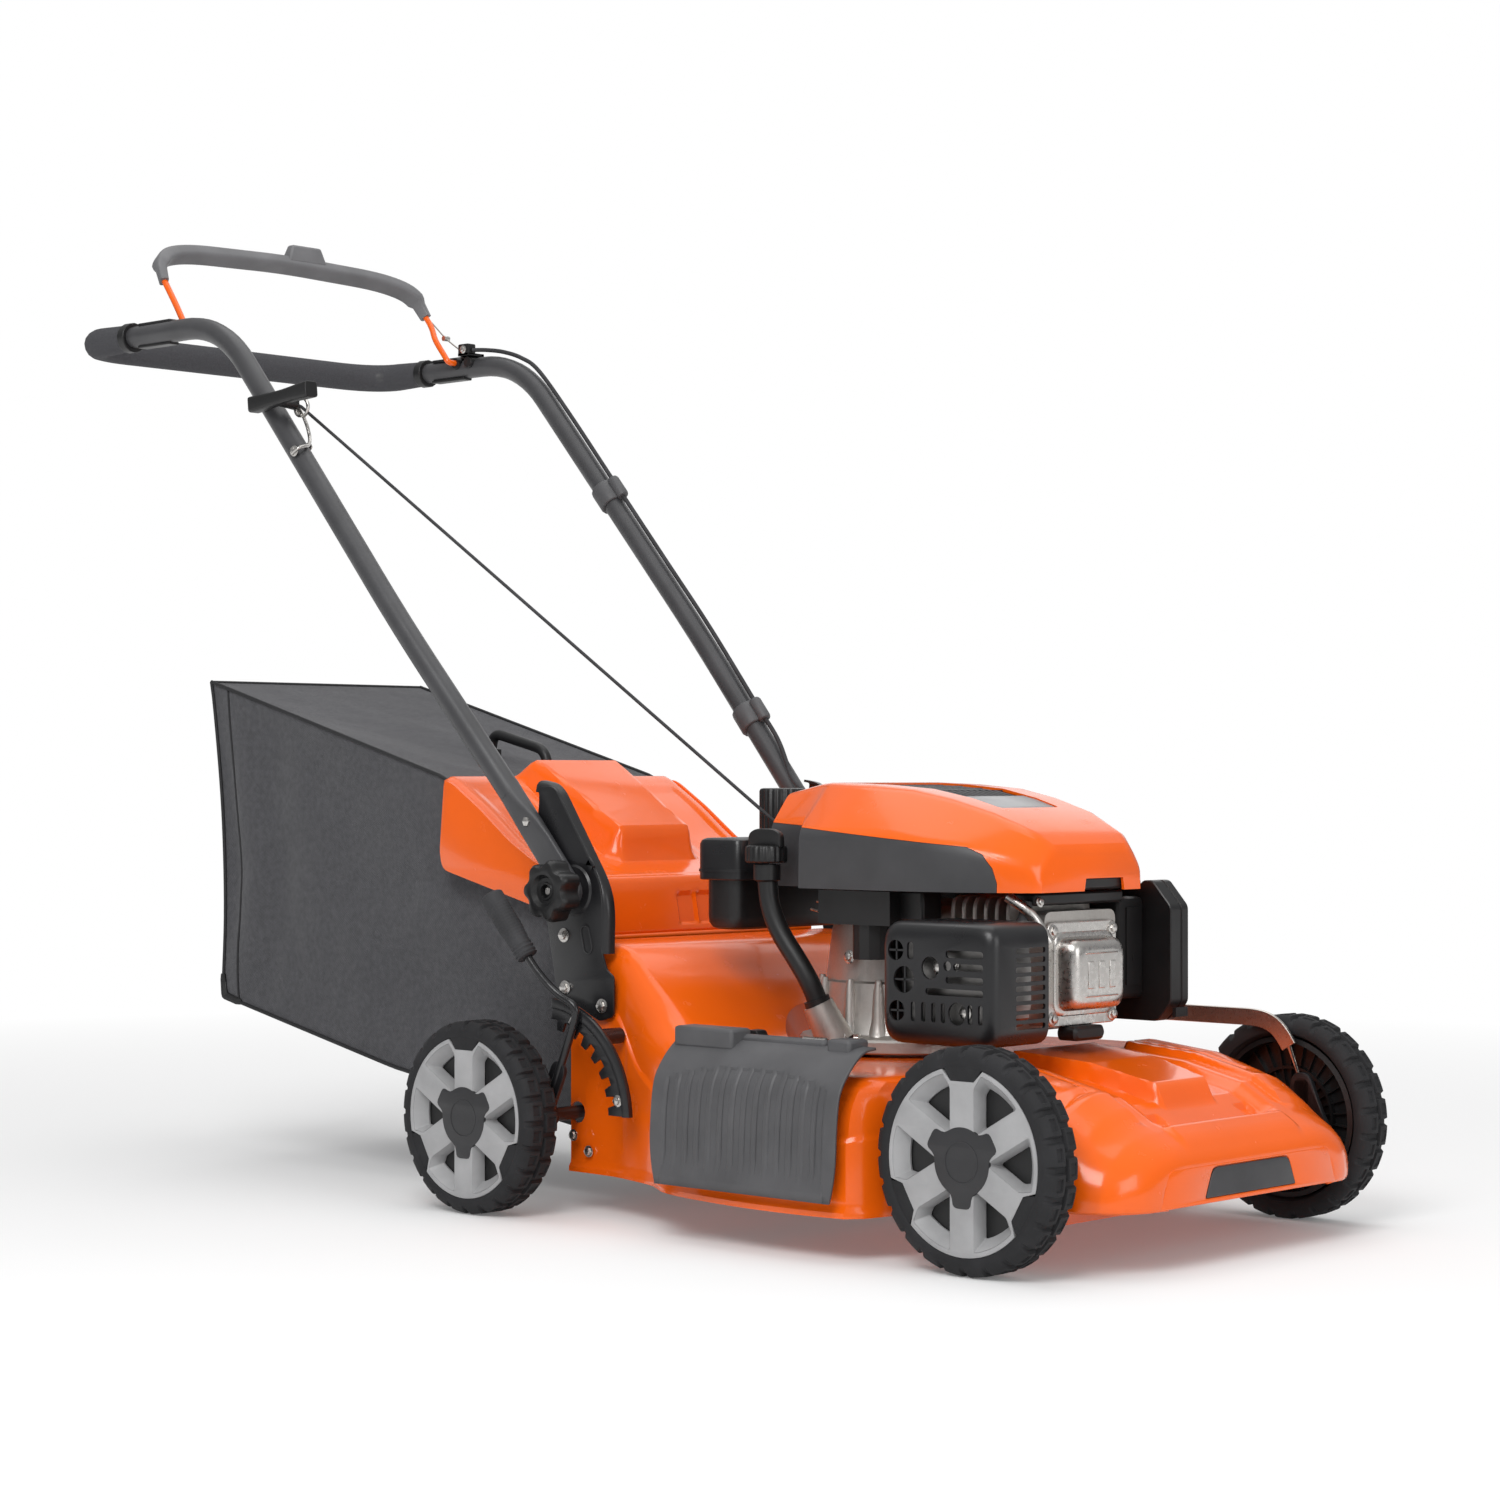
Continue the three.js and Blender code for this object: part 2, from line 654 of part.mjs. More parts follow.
function heightLever() {
  const bar = sweep(bentPath(leverRoute, 12), 4, 8, 28);
  const plate = sideSlab(capsule(rearPivot, [224, 146], 10), -252.5, -247.5);
  const bore = cylinderX(-260, -240, rearPivot, axleRadius + 0.5, 16);
  return cut(join(bar, plate), bore);
}

function leverGrip() {
  const from = new THREE.Vector3(...leverRoute[4]);
  const to = new THREE.Vector3(...leverRoute[5]);
  const along = to.clone().sub(from).normalize();
  const start = from.clone().addScaledVector(along, 8);
  const end = to.clone().addScaledVector(along, 10);
  const mouth = from.clone().addScaledVector(along, -20);
  const bottom = to.clone().addScaledVector(along, 1);
  const body = rod(start.toArray(), end.toArray(), 12, 14);
  return cut(body, rod(mouth.toArray(), bottom.toArray(), 4.8, 10));
}

// ---------- handle ----------
const up = new THREE.Vector2(handleTop[0] - handleLow[0], handleTop[1] - handleLow[1]).normalize();

// A point on the axis of a side tube at a height, and one set off from it towards the front.
function tubePoint(z, side, forward = 0) {
  const climb = THREE.MathUtils.clamp((z - handleLow[1]) / (handleKnee[1] - handleLow[1]), 0, 1);
  const x = THREE.MathUtils.lerp(handleHalfLow, handleHalfKnee, climb);
  const y = handleLow[0] + ((z - handleLow[1]) * up.x) / up.y;
  return [side * x, y - forward * up.y, z + forward * up.x];
}

function handleCorners(side) {
  return [
    [side * handleHalfLow, ...handleLow],
    [side * handleHalfKnee, ...handleKnee],
    [side * handleHalfTop, ...handleTop],
    [side * 226, crossbarY, crossbarZ],
  ];
}

function handleTube() {
  const corners = [...handleCorners(-1), ...handleCorners(1).reverse()];
  const tube = sweep(bentPath(corners, 62), tubeRadius, 10, 76, tubeRadius - tubeWall);
  const ends = [-1, 1].map((side) => {
    const [x0, x1] = side < 0 ? [-220, -212] : [212, 220];
    const flat = sideSlab(capsule(handlePivot, [333, 427], 15), x0, x1);
    return cut(flat, cylinderX(-230, 230, handlePivot, 4.5, 12));
  });
  return join(tube, ...ends);
}

function foamGrip() {
  const ends = [-1, 1].map((side) => [side * 226.9, 968, crossbarZ]);
  const corners = [ends[0], [-226, crossbarY, crossbarZ], [226, crossbarY, crossbarZ], ends[1]];
  return sweep(bentPath(corners, 62), foamRadius, 10, 30, tubeRadius + 2.7);
}

function clampKnob() {
  const outline = [];
  for (let i = 0; i < 42; i++) {
    const angle = (2 * Math.PI * i) / 42;
    const radius = 29 + 3 * Math.cos(7 * angle);
    outline.push([radius * Math.cos(angle), radius * Math.sin(angle)]);
  }
  const lobes = sideSlab(polygon(outline), -255, -228);
  const collar = cylinderX(-229, -220.5, [0, 0], 14, 16);
  return join(lobes, collar).translate(0, ...handlePivot);
}

// Moulded clip that holds the cable in front of the far tube.
function cableClip(z) {
  const low = tubePoint(z - 11, 1);
  const high = tubePoint(z + 11, 1);
  const cableLow = tubePoint(z - 11, 1, cableStand);
  const cableHigh = tubePoint(z + 11, 1, cableStand);
  const body = join(rod(low, high, 16.5, 16), rod(cableLow, cableHigh, 7.5, 12));
  const tubeBore = longRod(low, high, tubeRadius + 0.9);
  const cableBore = longRod(cableLow, cableHigh, 4.2);
  return cut(body, tubeBore, cableBore);
}

// Brake cable: along the left tube under its clips, then down to the back of the engine.
const cableRadius = 2.6;
const cableStand = 18; // from the tube's axis to the cable's
const clipHeights = [775, 506];
const anchorY = [867, 886];
const upperCable = [
  [214, anchorY[0] - 1.2, 970],
  [222, 848, 969],
  [228, 824, 965],
  [229, 793, 955],
  [229.5, 763, 937],
  ...[870, clipHeights[0], 680, 600, clipHeights[1] + 2].map((z) => tubePoint(z, 1, cableStand)),
];
const lowerCable = [
  ...[clipHeights[1] - 1, 470].map((z) => tubePoint(z, 1, cableStand)),
  [209, 332, 452],
  [198, 315, 438],
  [176, 275, 421],
  [144, 200, 404],
  [122, 145, 391],
  [108, 102, 377],
  [101, 86, 368],
];

function cable(points, radius, steps) {
  const curve = new THREE.CatmullRomCurve3(points.map((p) => new THREE.Vector3(...p)));
  return sweep(curve, radius, 8, steps);
}

// Block on the left tube that ends the cable's sleeve; the bare wire goes on to the bail.
function cableAnchor() {
  const [y0, y1] = anchorY;
  return join(box(207.5, 220, y0, y1, 963.2, 978), box(207.5, 234, y0, y1, 963.2, 966.5));
}

const bailCable = [[212, anchorY[1] + 0.5, 971], [211, 912, 988], [209.5, 937, 1010]];

// Starter rope, its guide ring and the pull grip.
const ringCentre = [-218, 668, 847];
const ropeEntry = [-58, 90, 383];

function starterRope() {
  return rod(ringCentre, ropeEntry, 1.8, 8);
}

function ropeGuide() {
  const ring = new THREE.TorusGeometry(11, 2, 8, 16).rotateY(Math.PI / 2).translate(...ringCentre);
  const clamp = tubePoint(800, -1);
  const high = tubePoint(808, -1);
  const band = rod(clamp, high, 16, 16);
  const bore = longRod(clamp, high, tubeRadius + 0.9);
  const stalk = rod([-216, 655, 806], [-218, 664, 837.5], 2, 8);
  return join(cut(band, bore), stalk);
}

function pullGrip() {
  const bar = roundedPolygon([[-51, -9], [51, -9], [51, 9], [-51, 9]], 5);
  const grip = slab(bar, -8.5, 8.5).rotateY(Math.PI / 2).rotateX(Math.PI / 2 - 0.1);
  const stem = rod([8, 12, 0], [31, 13, -4], 8, 12);
  return join(grip, stem).translate(-253, 658, 854);
}

// ---------- operator-presence bail ----------
const bailHalf = 201;
const bailArc = [[-bailHalf, 944, 1022], [-196, 958, 1046], [-150, 967, 1058], [0, 971, 1063],
  [150, 967, 1058], [196, 958, 1046], [bailHalf, 944, 1022]];

function bailWire() {
  const feet = [-1, 1].map((side) => [side * bailHalf, ...bailPivot]);
  const corners = [feet[0], ...bailArc, feet[1]];
  const wire = sweep(bentPath(corners, 14), 3.6, 8, 50);
  const pins = [-1, 1].map((side) => {
    const [x0, x1] = side < 0 ? [-213, -bailHalf] : [bailHalf, 213];
    return cylinderX(x0, x1, bailPivot, 3.5, 10);
  });
  return join(wire, ...pins);
}

function bailCover() {
  const shape = polygon([[-11, -5], [-8, -8.5], [8, -8.5], [11, -5], [11, 5], [8, 8.5], [-8, 8.5], [-11, 5]]);
  shape.holes.push(new THREE.Path(circle(6, 8)));
  const path = bentPath(bailArc, 14);
  const grip = new THREE.ExtrudeGeometry(shape, { extrudePath: path, steps: 26, bevelEnabled: false });
  return join(grip, box(2, 58, 964, 975, 1069, 1088));
}

// ---------- rear flap and grass bag ----------
// The flap's back in the side view, from the hinge lip to the rear edge.
const flapBack = [[268, 276], [279, 330], [300, 340], [341, 353], [379, 374], [425, 407], [467, 433],
  [481, 440]];

function rearFlap() {
  const inner = flapBack.map(([y, z]) => [y + 2.4, z - 2.4]).reverse();
  const skin = sideSlab(polygon([...flapBack, ...inner]), -172.5, 172.5);
  const wingOutline = [[268, 276], [279, 330], [300, 339], [341, 352], [379, 373], [425, 406],
    [467, 432], [480, 438], [487, 360], [484, 339], [338, 304], [278, 280]];
  const wings = [-1, 1].map((side) => {
    const [x0, x1] = side < 0 ? [-175, -172] : [172, 175];
    return sideSlab(polygon(wingOutline), x0, x1);
  });
  const hump = loft([
    [[-48, 352, 393], [48, 352, 393], [58, 470, 460], [-58, 470, 460]],
    [[-70, 318, 342], [70, 318, 342], [80, 478, 437], [-80, 478, 437]],
  ]);
  return join(skin, ...wings, hump);
}

const bagOutline = [[266, 75], [578, 120], [880, 184], [903, 551], [490, 440], [470, 418], [425, 392],
  [379, 360], [341, 338], [300, 285], [266, 262]];

// Moves every corner of an outline inwards by a wall, edge by edge.
function shrink(outline, wall) {
  const corners = outline.map(([a, b]) => new THREE.Vector2(a, b));
  const inward = (from, to) => {
    const edge = to.clone().sub(from).normalize();
    return new THREE.Vector2(-edge.y, edge.x);
  };
  return corners.map((corner, i) => {
    const before = inward(corners.at(i - 1), corner);
    const after = inward(corner, corners[(i + 1) % corners.length]);
    const mitre = before.clone().add(after).normalize();
    const moved = corner.clone().addScaledVector(mitre, wall / mitre.dot(before));
    return [moved.x, moved.y];
  });
}

// The bag is a shell whose mouth fits behind the deck's tunnel.
function grassBag() {
  const outer = sideSlab(roundedPolygon(bagOutline, 16), -bagHalf, bagHalf);
  const inner = sideSlab(roundedPolygon(shrink(bagOutline, bagWall), 12), bagWall - bagHalf, bagHalf - bagWall);
  const mouth = box(bagWall - bagHalf, bagHalf - bagWall, 250, 300, 88, 252);
  return cut(outer, inner, mouth);
}

function bagHandle() {
  const route = [[0, 596, 473], [0, 590, 490], [0, 506, 468], [0, 502, 448]];
  return sweep(bentPath(route, 14), 6, 8, 14);
}

// ---------- assembly ----------
add("deck", deck(), "orange");
add("front_cover", frontCover(), "orange");
add("front_insert", frontInsert(), "greyPlastic");
add("side_chute_cover", chuteCover(), "greyPlastic");
add("handle_bracket_right", handleBracket(), "blackPlastic");
add("handle_bracket_left", mirrored(handleBracket()), "blackPlastic");
add("height_quadrant", heightQuadrant(), "blackPlastic");

add("engine_block", engineBlock(), "castAluminium");
add("valve_cover", valveCover(), "steel");
add("muffler_guard", mufflerGuard(), "blackPlastic");
add("muffler", muffler(), "steel");
add("engine_hood", cut(shroud(), bandRegion(0)), "orange");
add("engine_side_band", overlap(shroud(), bandRegion(gap)), "greyPlastic");
add("air_filter_cover", airFilterCover(), "blackPlastic");
add("air_filter_base", airFilterBase(), "blackPlastic");
add("carburettor", carburettor(), "blackPlastic");
add("fuel_tank", fuelTank(), "blackPlastic");
add("fuel_cap", fuelCap(), "blackPlastic");
add("oil_filler_tube", fillerTube(), "blackPlastic");
add("oil_filler_cap", fillerCap(), "blackPlastic");
add("spark_plug_boot", sparkPlugBoot(), "blackPlastic");
add("crankshaft", crankshaft(), "steel");
add("flywheel", flywheel(), "castAluminium");
add("cutting_blade", blade(), "steel");
add("blade_bolt", bladeBolt(), "steel");

addWheel("front_right", frontWheel, -1);
addWheel("front_left", frontWheel, 1);
addWheel("rear_right", rearWheel, -1);
addWheel("rear_left", rearWheel, 1);
add("front_axle", frontAxle(), "steel");
add("rear_axle", rearAxle(), "steel");
add("height_link", linkRod(), "steel");
add("height_lever", heightLever(), "blackPlastic");
add("height_lever_grip", leverGrip(), "rubber");

add("handle_tube", handleTube(), "handlePaint");
add("foam_grip", foamGrip(), "foam");
add("clamp_knob_right", clampKnob(), "blackPlastic");
add("clamp_knob_left", mirrored(clampKnob()), "blackPlastic");
add("cable_clip_upper", cableClip(clipHeights[0]), "greyPlastic");
add("cable_clip_lower", cableClip(clipHeights[1]), "greyPlastic");
add("brake_cable_upper", cable(upperCable, cableRadius, 44), "rubber");
add("brake_cable_lower", cable(lowerCable, cableRadius, 30), "rubber");
add("bail_cable", cable(bailCable, 1, 6), "steel");
add("cable_anchor", cableAnchor(), "blackPlastic");
add("starter_rope", starterRope(), "rubber");
add("rope_guide", ropeGuide(), "steel");
add("pull_grip", pullGrip(), "blackPlastic");
add("bail_wire", bailWire(), "orange");
add("bail_cover", bailCover(), "greyPlastic");

add("rear_flap", rearFlap(), "orange");
add("grass_bag", grassBag(), "fabric");
add("bag_handle", bagHandle(), "blackPlastic");

const model = new THREE.Group();
model.add(mower);

export default model;
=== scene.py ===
import json
from math import asin, atan2, copysign, cos, degrees, exp, pi, radians, sin, sqrt

import bmesh
import bpy
from mathutils import Matrix, Vector


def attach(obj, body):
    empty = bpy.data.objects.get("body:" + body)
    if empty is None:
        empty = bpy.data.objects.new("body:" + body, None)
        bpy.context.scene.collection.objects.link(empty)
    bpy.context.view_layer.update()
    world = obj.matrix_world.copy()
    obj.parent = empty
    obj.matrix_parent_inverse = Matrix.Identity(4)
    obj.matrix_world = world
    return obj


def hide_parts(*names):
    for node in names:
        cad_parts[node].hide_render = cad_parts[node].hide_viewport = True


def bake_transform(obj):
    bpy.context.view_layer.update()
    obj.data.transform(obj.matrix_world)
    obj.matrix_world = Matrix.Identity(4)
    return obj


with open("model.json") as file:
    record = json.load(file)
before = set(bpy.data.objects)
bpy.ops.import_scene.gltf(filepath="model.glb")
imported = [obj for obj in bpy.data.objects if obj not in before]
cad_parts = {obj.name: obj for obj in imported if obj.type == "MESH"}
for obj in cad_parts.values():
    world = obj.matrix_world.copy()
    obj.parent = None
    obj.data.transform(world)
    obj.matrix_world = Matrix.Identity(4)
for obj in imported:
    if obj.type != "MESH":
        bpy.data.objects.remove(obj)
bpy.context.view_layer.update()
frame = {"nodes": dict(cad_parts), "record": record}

# Shapes below are drawn in millimetres with Y = 0 midway between the axles; at() turns
# them into the frame's metres.
AXLE_MIDDLE = 324.5
FRONT_WHEEL = {"radius": 101.5, "width": 42, "outer": 272, "y": -310, "rim": 84}
REAR_WHEEL = {"radius": 97, "width": 45, "outer": 301, "y": 310, "rim": 81}


def at(x, y, z):
    return Vector((x, y - AXLE_MIDDLE, z)) / 1000


# ---------- camera, light and floor ----------
def look_from(azimuth, elevation):
    a, e = radians(azimuth), radians(elevation)
    back = Vector((sin(a) * cos(e), -cos(a) * cos(e), sin(e)))
    right = Vector((cos(a), sin(a), 0))
    return back, right, back.cross(right)


def make_camera():
    back, right, up = look_from(-47.1, -0.4)
    data = bpy.data.cameras.new("camera")
    data.lens = 76.04
    data.sensor_width = 36
    data.clip_end = 100
    camera = bpy.data.objects.new("camera", data)
    camera.rotation_mode = "QUATERNION"
    camera.rotation_quaternion = Matrix((right, up, back)).transposed().to_quaternion()
    camera.location = at(-2438.2, -2070.1, 444.4)
    bpy.context.scene.collection.objects.link(camera)
    bpy.context.scene.camera = camera


def area_light(name, spot, target, size, watts):
    data = bpy.data.lights.new(name, "AREA")
    data.shape = "RECTANGLE"
    data.size = data.size_y = size
    data.energy = watts
    lamp = bpy.data.objects.new(name, data)
    lamp.location = spot
    aim = Vector(target) - Vector(spot)
    lamp.rotation_mode = "QUATERNION"
    lamp.rotation_quaternion = aim.to_track_quat("-Z", "Y")
    bpy.context.scene.collection.objects.link(lamp)


def make_world():
    """White to the camera, and a softer grey room that brightens upwards for light and reflections."""
    world = bpy.data.worlds.new("studio")
    world.use_nodes = True
    tree = world.node_tree
    room = tree.nodes["Background"]
    place = tree.nodes.new("ShaderNodeTexCoord").outputs["Generated"]
    height = tree.nodes.new("ShaderNodeSeparateXYZ")
    tree.links.new(place, height.inputs[0])
    ramp = tree.nodes.new("ShaderNodeValToRGB")
    ramp.color_ramp.elements[0].position = 0.0
    ramp.color_ramp.elements[0].color = (0.2, 0.2, 0.21, 1)
    ramp.color_ramp.elements[1].position = 0.7
    ramp.color_ramp.elements[1].color = (0.55, 0.55, 0.55, 1)
    tree.links.new(height.outputs["Z"], ramp.inputs[0])
    tree.links.new(ramp.outputs[0], room.inputs["Color"])
    white = tree.nodes.new("ShaderNodeBackground")
    white.inputs["Color"].default_value = (1, 1, 1, 1)
    seen = tree.nodes.new("ShaderNodeLightPath").outputs["Is Camera Ray"]
    choose = tree.nodes.new("ShaderNodeMixShader")
    tree.links.new(seen, choose.inputs[0])
    tree.links.new(room.outputs[0], choose.inputs[1])
    tree.links.new(white.outputs[0], choose.inputs[2])
    tree.links.new(choose.outputs[0], tree.nodes["World Output"].inputs["Surface"])
    bpy.context.scene.world = world


def make_floor():
    """A pale floor that takes shadows near the mower and fades to the white of the backdrop."""
    bm = bmesh.new()
    bmesh.ops.create_circle(bm, cap_ends=True, segments=64, radius=60)
    data = bpy.data.meshes.new("floor")
    bm.to_mesh(data)
    bm.free()
    floor = bpy.data.objects.new("floor", data)
    floor.location.z = -0.0005
    bpy.context.scene.collection.objects.link(floor)
    pale = bpy.data.materials.new("floor")
    pale.use_nodes = True
    tree = pale.node_tree
    tree.nodes.remove(tree.nodes["Principled BSDF"])
    diffuse = tree.nodes.new("ShaderNodeBsdfDiffuse")
    diffuse.inputs["Color"].default_value = (0.9, 0.9, 0.9, 1)
    glow = tree.nodes.new("ShaderNodeEmission")
    place = tree.nodes.new("ShaderNodeTexCoord").outputs["Object"]
    length = tree.nodes.new("ShaderNodeVectorMath")
    length.operation = "LENGTH"
    tree.links.new(place, length.inputs[0])
    fade = tree.nodes.new("ShaderNodeMapRange")
    for socket, value in zip(fade.inputs[1:5], (0.7, 2.6, 0.12, 1.0)):
        socket.default_value = value
    tree.links.new(length.outputs["Value"], fade.inputs[0])
    mix = tree.nodes.new("ShaderNodeMixShader")
    tree.links.new(fade.outputs[0], mix.inputs[0])
    tree.links.new(diffuse.outputs[0], mix.inputs[1])
    tree.links.new(glow.outputs[0], mix.inputs[2])
    tree.links.new(mix.outputs[0], tree.nodes["Material Output"].inputs["Surface"])
    data.materials.append(pale)


def make_studio():
    make_world()
    make_floor()
    bpy.context.scene.view_settings.view_transform = "Standard"
    area_light("key", (-2.4, -1.4, 2.4), (0, -0.1, 0.3), 1.5, 58)
    area_light("top", (0.3, 0.2, 2.9), (0, 0, 0), 2.4, 24)
    area_light("fill", (-0.4, -3.2, 1.1), (0, 0, 0.3), 1.3, 16)
    area_light("rim_light", (2.6, 1.4, 1.8), (0, 0, 0.4), 2.2, 12)


make_camera()
make_studio()


# ---------- materials ----------
THREAD_PITCH = 0.0016


def linear(hexcode):
    def channel(value):
        value /= 255
        return value / 12.92 if value <= 0.04045 else ((value + 0.055) / 1.055) ** 2.4
    rgb = [int(hexcode[i:i + 2], 16) for i in (0, 2, 4)]
    return (*[channel(v) for v in rgb], 1)


class Graph:
    """A material's node tree with short calls."""

    def __init__(self, name):
        self.material = bpy.data.materials.new(name)
        self.material.use_nodes = True
        self.tree = self.material.node_tree
        self.shader = self.tree.nodes["Principled BSDF"]
        self.place = self.node("ShaderNodeTexCoord").outputs["Object"]

    def node(self, kind, settings=(), **inputs):
        made = self.tree.nodes.new(kind)
        for key, value in settings:
            setattr(made, key, value)
        for key, value in inputs.items():
            socket = made.inputs[int(key[1:])] if key[0] == "_" else made.inputs[key.replace("__", " ")]
            if isinstance(value, bpy.types.NodeSocket):
                self.tree.links.new(value, socket)
            else:
                socket.default_value = value
        return made

    def noise(self, scale, detail=3.0, vector=None):
        vector = vector or self.place
        made = self.node("ShaderNodeTexNoise", Vector=vector, Scale=scale, Detail=detail)
        return made.outputs["Fac"]

    def spread(self, value, low, high, new_low=0.0, new_high=1.0):
        made = self.node("ShaderNodeMapRange", _0=value, _1=low, _2=high, _3=new_low, _4=new_high)
        return made.outputs[0]

    def math(self, operation, a, b=0.0):
        return self.node("ShaderNodeMath", [("operation", operation)], _0=a, _1=b).outputs[0]

    def blend(self, factor, a, b):
        made = self.node("ShaderNodeMix", [("data_type", "RGBA")], _0=factor, _6=a, _7=b)
        return made.outputs[2]

    def bump(self, height, strength, distance, below=None):
        inputs = {"Strength": strength, "Distance": distance, "Height": height}
        if below is not None:
            inputs["Normal"] = below
        return self.node("ShaderNodeBump", **inputs).outputs[0]

    def use(self, **sockets):
        for key, value in sockets.items():
            socket = self.shader.inputs[key.replace("_", " ")]
            if isinstance(value, bpy.types.NodeSocket):
                self.tree.links.new(value, socket)
            else:
                socket.default_value = value
        return self.material


def scaled(colour, factor):
    return (*[min(c * factor, 1) for c in colour[:3]], 1)


def make_paint(name, hexcode, roughness=0.2):
    """Glossy paint: slight orange peel, a dusting of fine dirt and small tone changes."""
    g = Graph(name)
    base = linear(hexcode)
    tone = g.blend(g.spread(g.noise(6), 0.35, 0.65), scaled(base, 0.95), scaled(base, 1.04))
    dusty = g.spread(g.noise(40, 8), 0.55, 0.75, roughness, roughness + 0.12)
    peel = g.bump(g.noise(700, 1), 0.035, 0.001)
    return g.use(Base_Color=tone, Roughness=dusty, Normal=peel, Coat_Weight=0.25, Coat_Roughness=0.06,
                 Specular_IOR_Level=0.4)


def make_plastic(name, hexcode, roughness=0.5, grain=900, depth=0.12):
    """Moulded plastic with a fine spark-eroded grain and scuffs."""
    g = Graph(name)
    base = linear(hexcode)
    tone = g.blend(g.spread(g.noise(25, 5), 0.35, 0.7), scaled(base, 0.88), scaled(base, 1.12))
    rough = g.spread(g.noise(14, 6), 0.3, 0.7, roughness - 0.06, roughness + 0.12)
    grained = g.bump(g.noise(grain, 2), depth, 0.0006)
    return g.use(Base_Color=tone, Roughness=rough, Normal=grained)


def make_rubber(name, hexcode, roughness=0.75):
    g = Graph(name)
    base = linear(hexcode)
    worn = g.spread(g.noise(30, 8), 0.45, 0.8)
    tone = g.blend(worn, base, scaled(base, 1.7))
    grained = g.bump(g.noise(500, 4), 0.25, 0.0008)
    return g.use(Base_Color=tone, Roughness=roughness, Normal=grained, Specular_IOR_Level=0.4)


def make_foam(name, hexcode):
    g = Graph(name)
    base = linear(hexcode)
    cells = g.node("ShaderNodeTexVoronoi", Vector=g.place, Scale=900.0).outputs["Distance"]
    # The colour follows the cell bump: darker in the pits and lighter on the ridges, which is painted
    # shade.
    tone = g.blend(g.spread(cells, 0.1, 0.6), scaled(base, 0.7), scaled(base, 1.15))
    return g.use(Base_Color=tone, Roughness=0.9, Normal=g.bump(cells, 0.35, 0.0012),
                 Specular_IOR_Level=0.25)


def make_metal(name, hexcode, roughness=0.3, brushed=None, grain=0.06):
    """Bare metal. brushed stretches the grain along one axis."""
    g = Graph(name)
    base = linear(hexcode)
    where = g.place
    if brushed:
        where = g.node("ShaderNodeMapping", Vector=where, Scale=brushed).outputs[0]
    fine = g.noise(260, 4, where)
    stain = g.spread(g.noise(12, 6), 0.35, 0.75)
    tone = g.blend(stain, scaled(base, 1.05), scaled(base, 0.8))
    rough = g.spread(fine, 0.3, 0.7, roughness - 0.07, roughness + 0.12)
    return g.use(Base_Color=tone, Roughness=rough, Metallic=1.0, Normal=g.bump(fine, grain, 0.0008))


def make_cast(name, hexcode):
    g = Graph(name)
    base = linear(hexcode)
    coarse = g.noise(420, 6)
    dirt = g.spread(g.noise(18, 8), 0.45, 0.75)
    tone = g.blend(dirt, base, scaled(base, 0.8))
    rough = g.spread(coarse, 0.3, 0.7, 0.36, 0.6)
    return g.use(Base_Color=tone, Roughness=rough, Metallic=0.9, Normal=g.bump(coarse, 0.1, 0.0006))


def make_weave(name, hexcode):
    """Plain weave: warp and weft threads crossing, with slubs, dust and soft wrinkles. Raised threads are
    painted lighter and the hollows between them darker: painted shade.
    """
    g = Graph(name)
    base = linear(hexcode)
    wobble = g.node("ShaderNodeTexNoise", Vector=g.place, Scale=35.0, Detail=2.0).outputs["Color"]
    moved = g.node("ShaderNodeVectorMath", [("operation", "MULTIPLY_ADD")], _0=wobble,
                   _1=(0.0015, 0.0015, 0.0015), _2=g.place).outputs[0]
    parts = g.node("ShaderNodeSeparateXYZ", _0=moved)
    turns = 2 * pi / THREAD_PITCH

    def thread(value):
        return g.math("SINE", g.math("MULTIPLY", value, turns))

    across = g.math("ADD", parts.outputs["X"], parts.outputs["Y"])
    warp = thread(g.math("MULTIPLY", across, 0.5))
    weft = thread(parts.outputs["Z"])
    crossing = g.math("MULTIPLY", warp, weft)
    height = g.spread(crossing, -1, 1)
    slub = g.spread(g.noise(160, 4), 0.3, 0.75)
    # light: lighter where the threads are raised and darker where they dip (painted shade), mixed with
    # random slub tone.
    light = g.math("ADD", g.math("MULTIPLY", height, 0.55), g.math("MULTIPLY", slub, 0.45))
    tone = g.blend(light, scaled(base, 0.62), scaled(base, 1.45))
    folds = g.bump(g.noise(8, 2), 0.7, 0.022)
    woven = g.bump(height, 0.55, 0.0009, folds)
    return g.use(Base_Color=tone, Roughness=0.88, Normal=woven, Sheen_Weight=0.15, Sheen_Roughness=0.5,
                 Specular_IOR_Level=0.25)


ORANGE = make_paint("orange_gloss", "F5640A")
DARK_GREY = make_plastic("dark_grey_moulding", "515153", 0.5, depth=0.06)
BAND_GREY = make_plastic("band_grey_moulding", "3C3C3E", 0.42, depth=0.05)
BLACK = make_plastic("black_moulding", "101011", 0.4, depth=0.06)
BLACK_PAINT = make_plastic("black_coating", "1A1A1C", 0.3, grain=500, depth=0.03)
TUBE = make_plastic("handle_coating", "404042", 0.4, grain=400, depth=0.02)
SILVER = make_plastic("silver_moulding", "A2A2A3", 0.4, depth=0.06)
CAP_GREY = make_plastic("hub_cap_moulding", "2C2C2E", 0.45, depth=0.05)
BAIL_GREY = make_plastic("bail_moulding", "6A6A6C", 0.5, depth=0.05)
TYRE = make_rubber("tyre_rubber_worn", "1E1E20")
GRIP = make_rubber("grip_rubber", "2E2E30", 0.7)
FOAM = make_foam("grip_foam_cells", "48484B")
ZINC = make_metal("zinc_plate", "CFCCC8", 0.28, grain=0.015)
STEEL_BAR = make_metal("bright_bar", "D2CBC4", 0.3, brushed=(1, 12, 1))
BLADE = make_metal("blade_steel", "8C8A88", 0.38, brushed=(0.4, 8, 1))
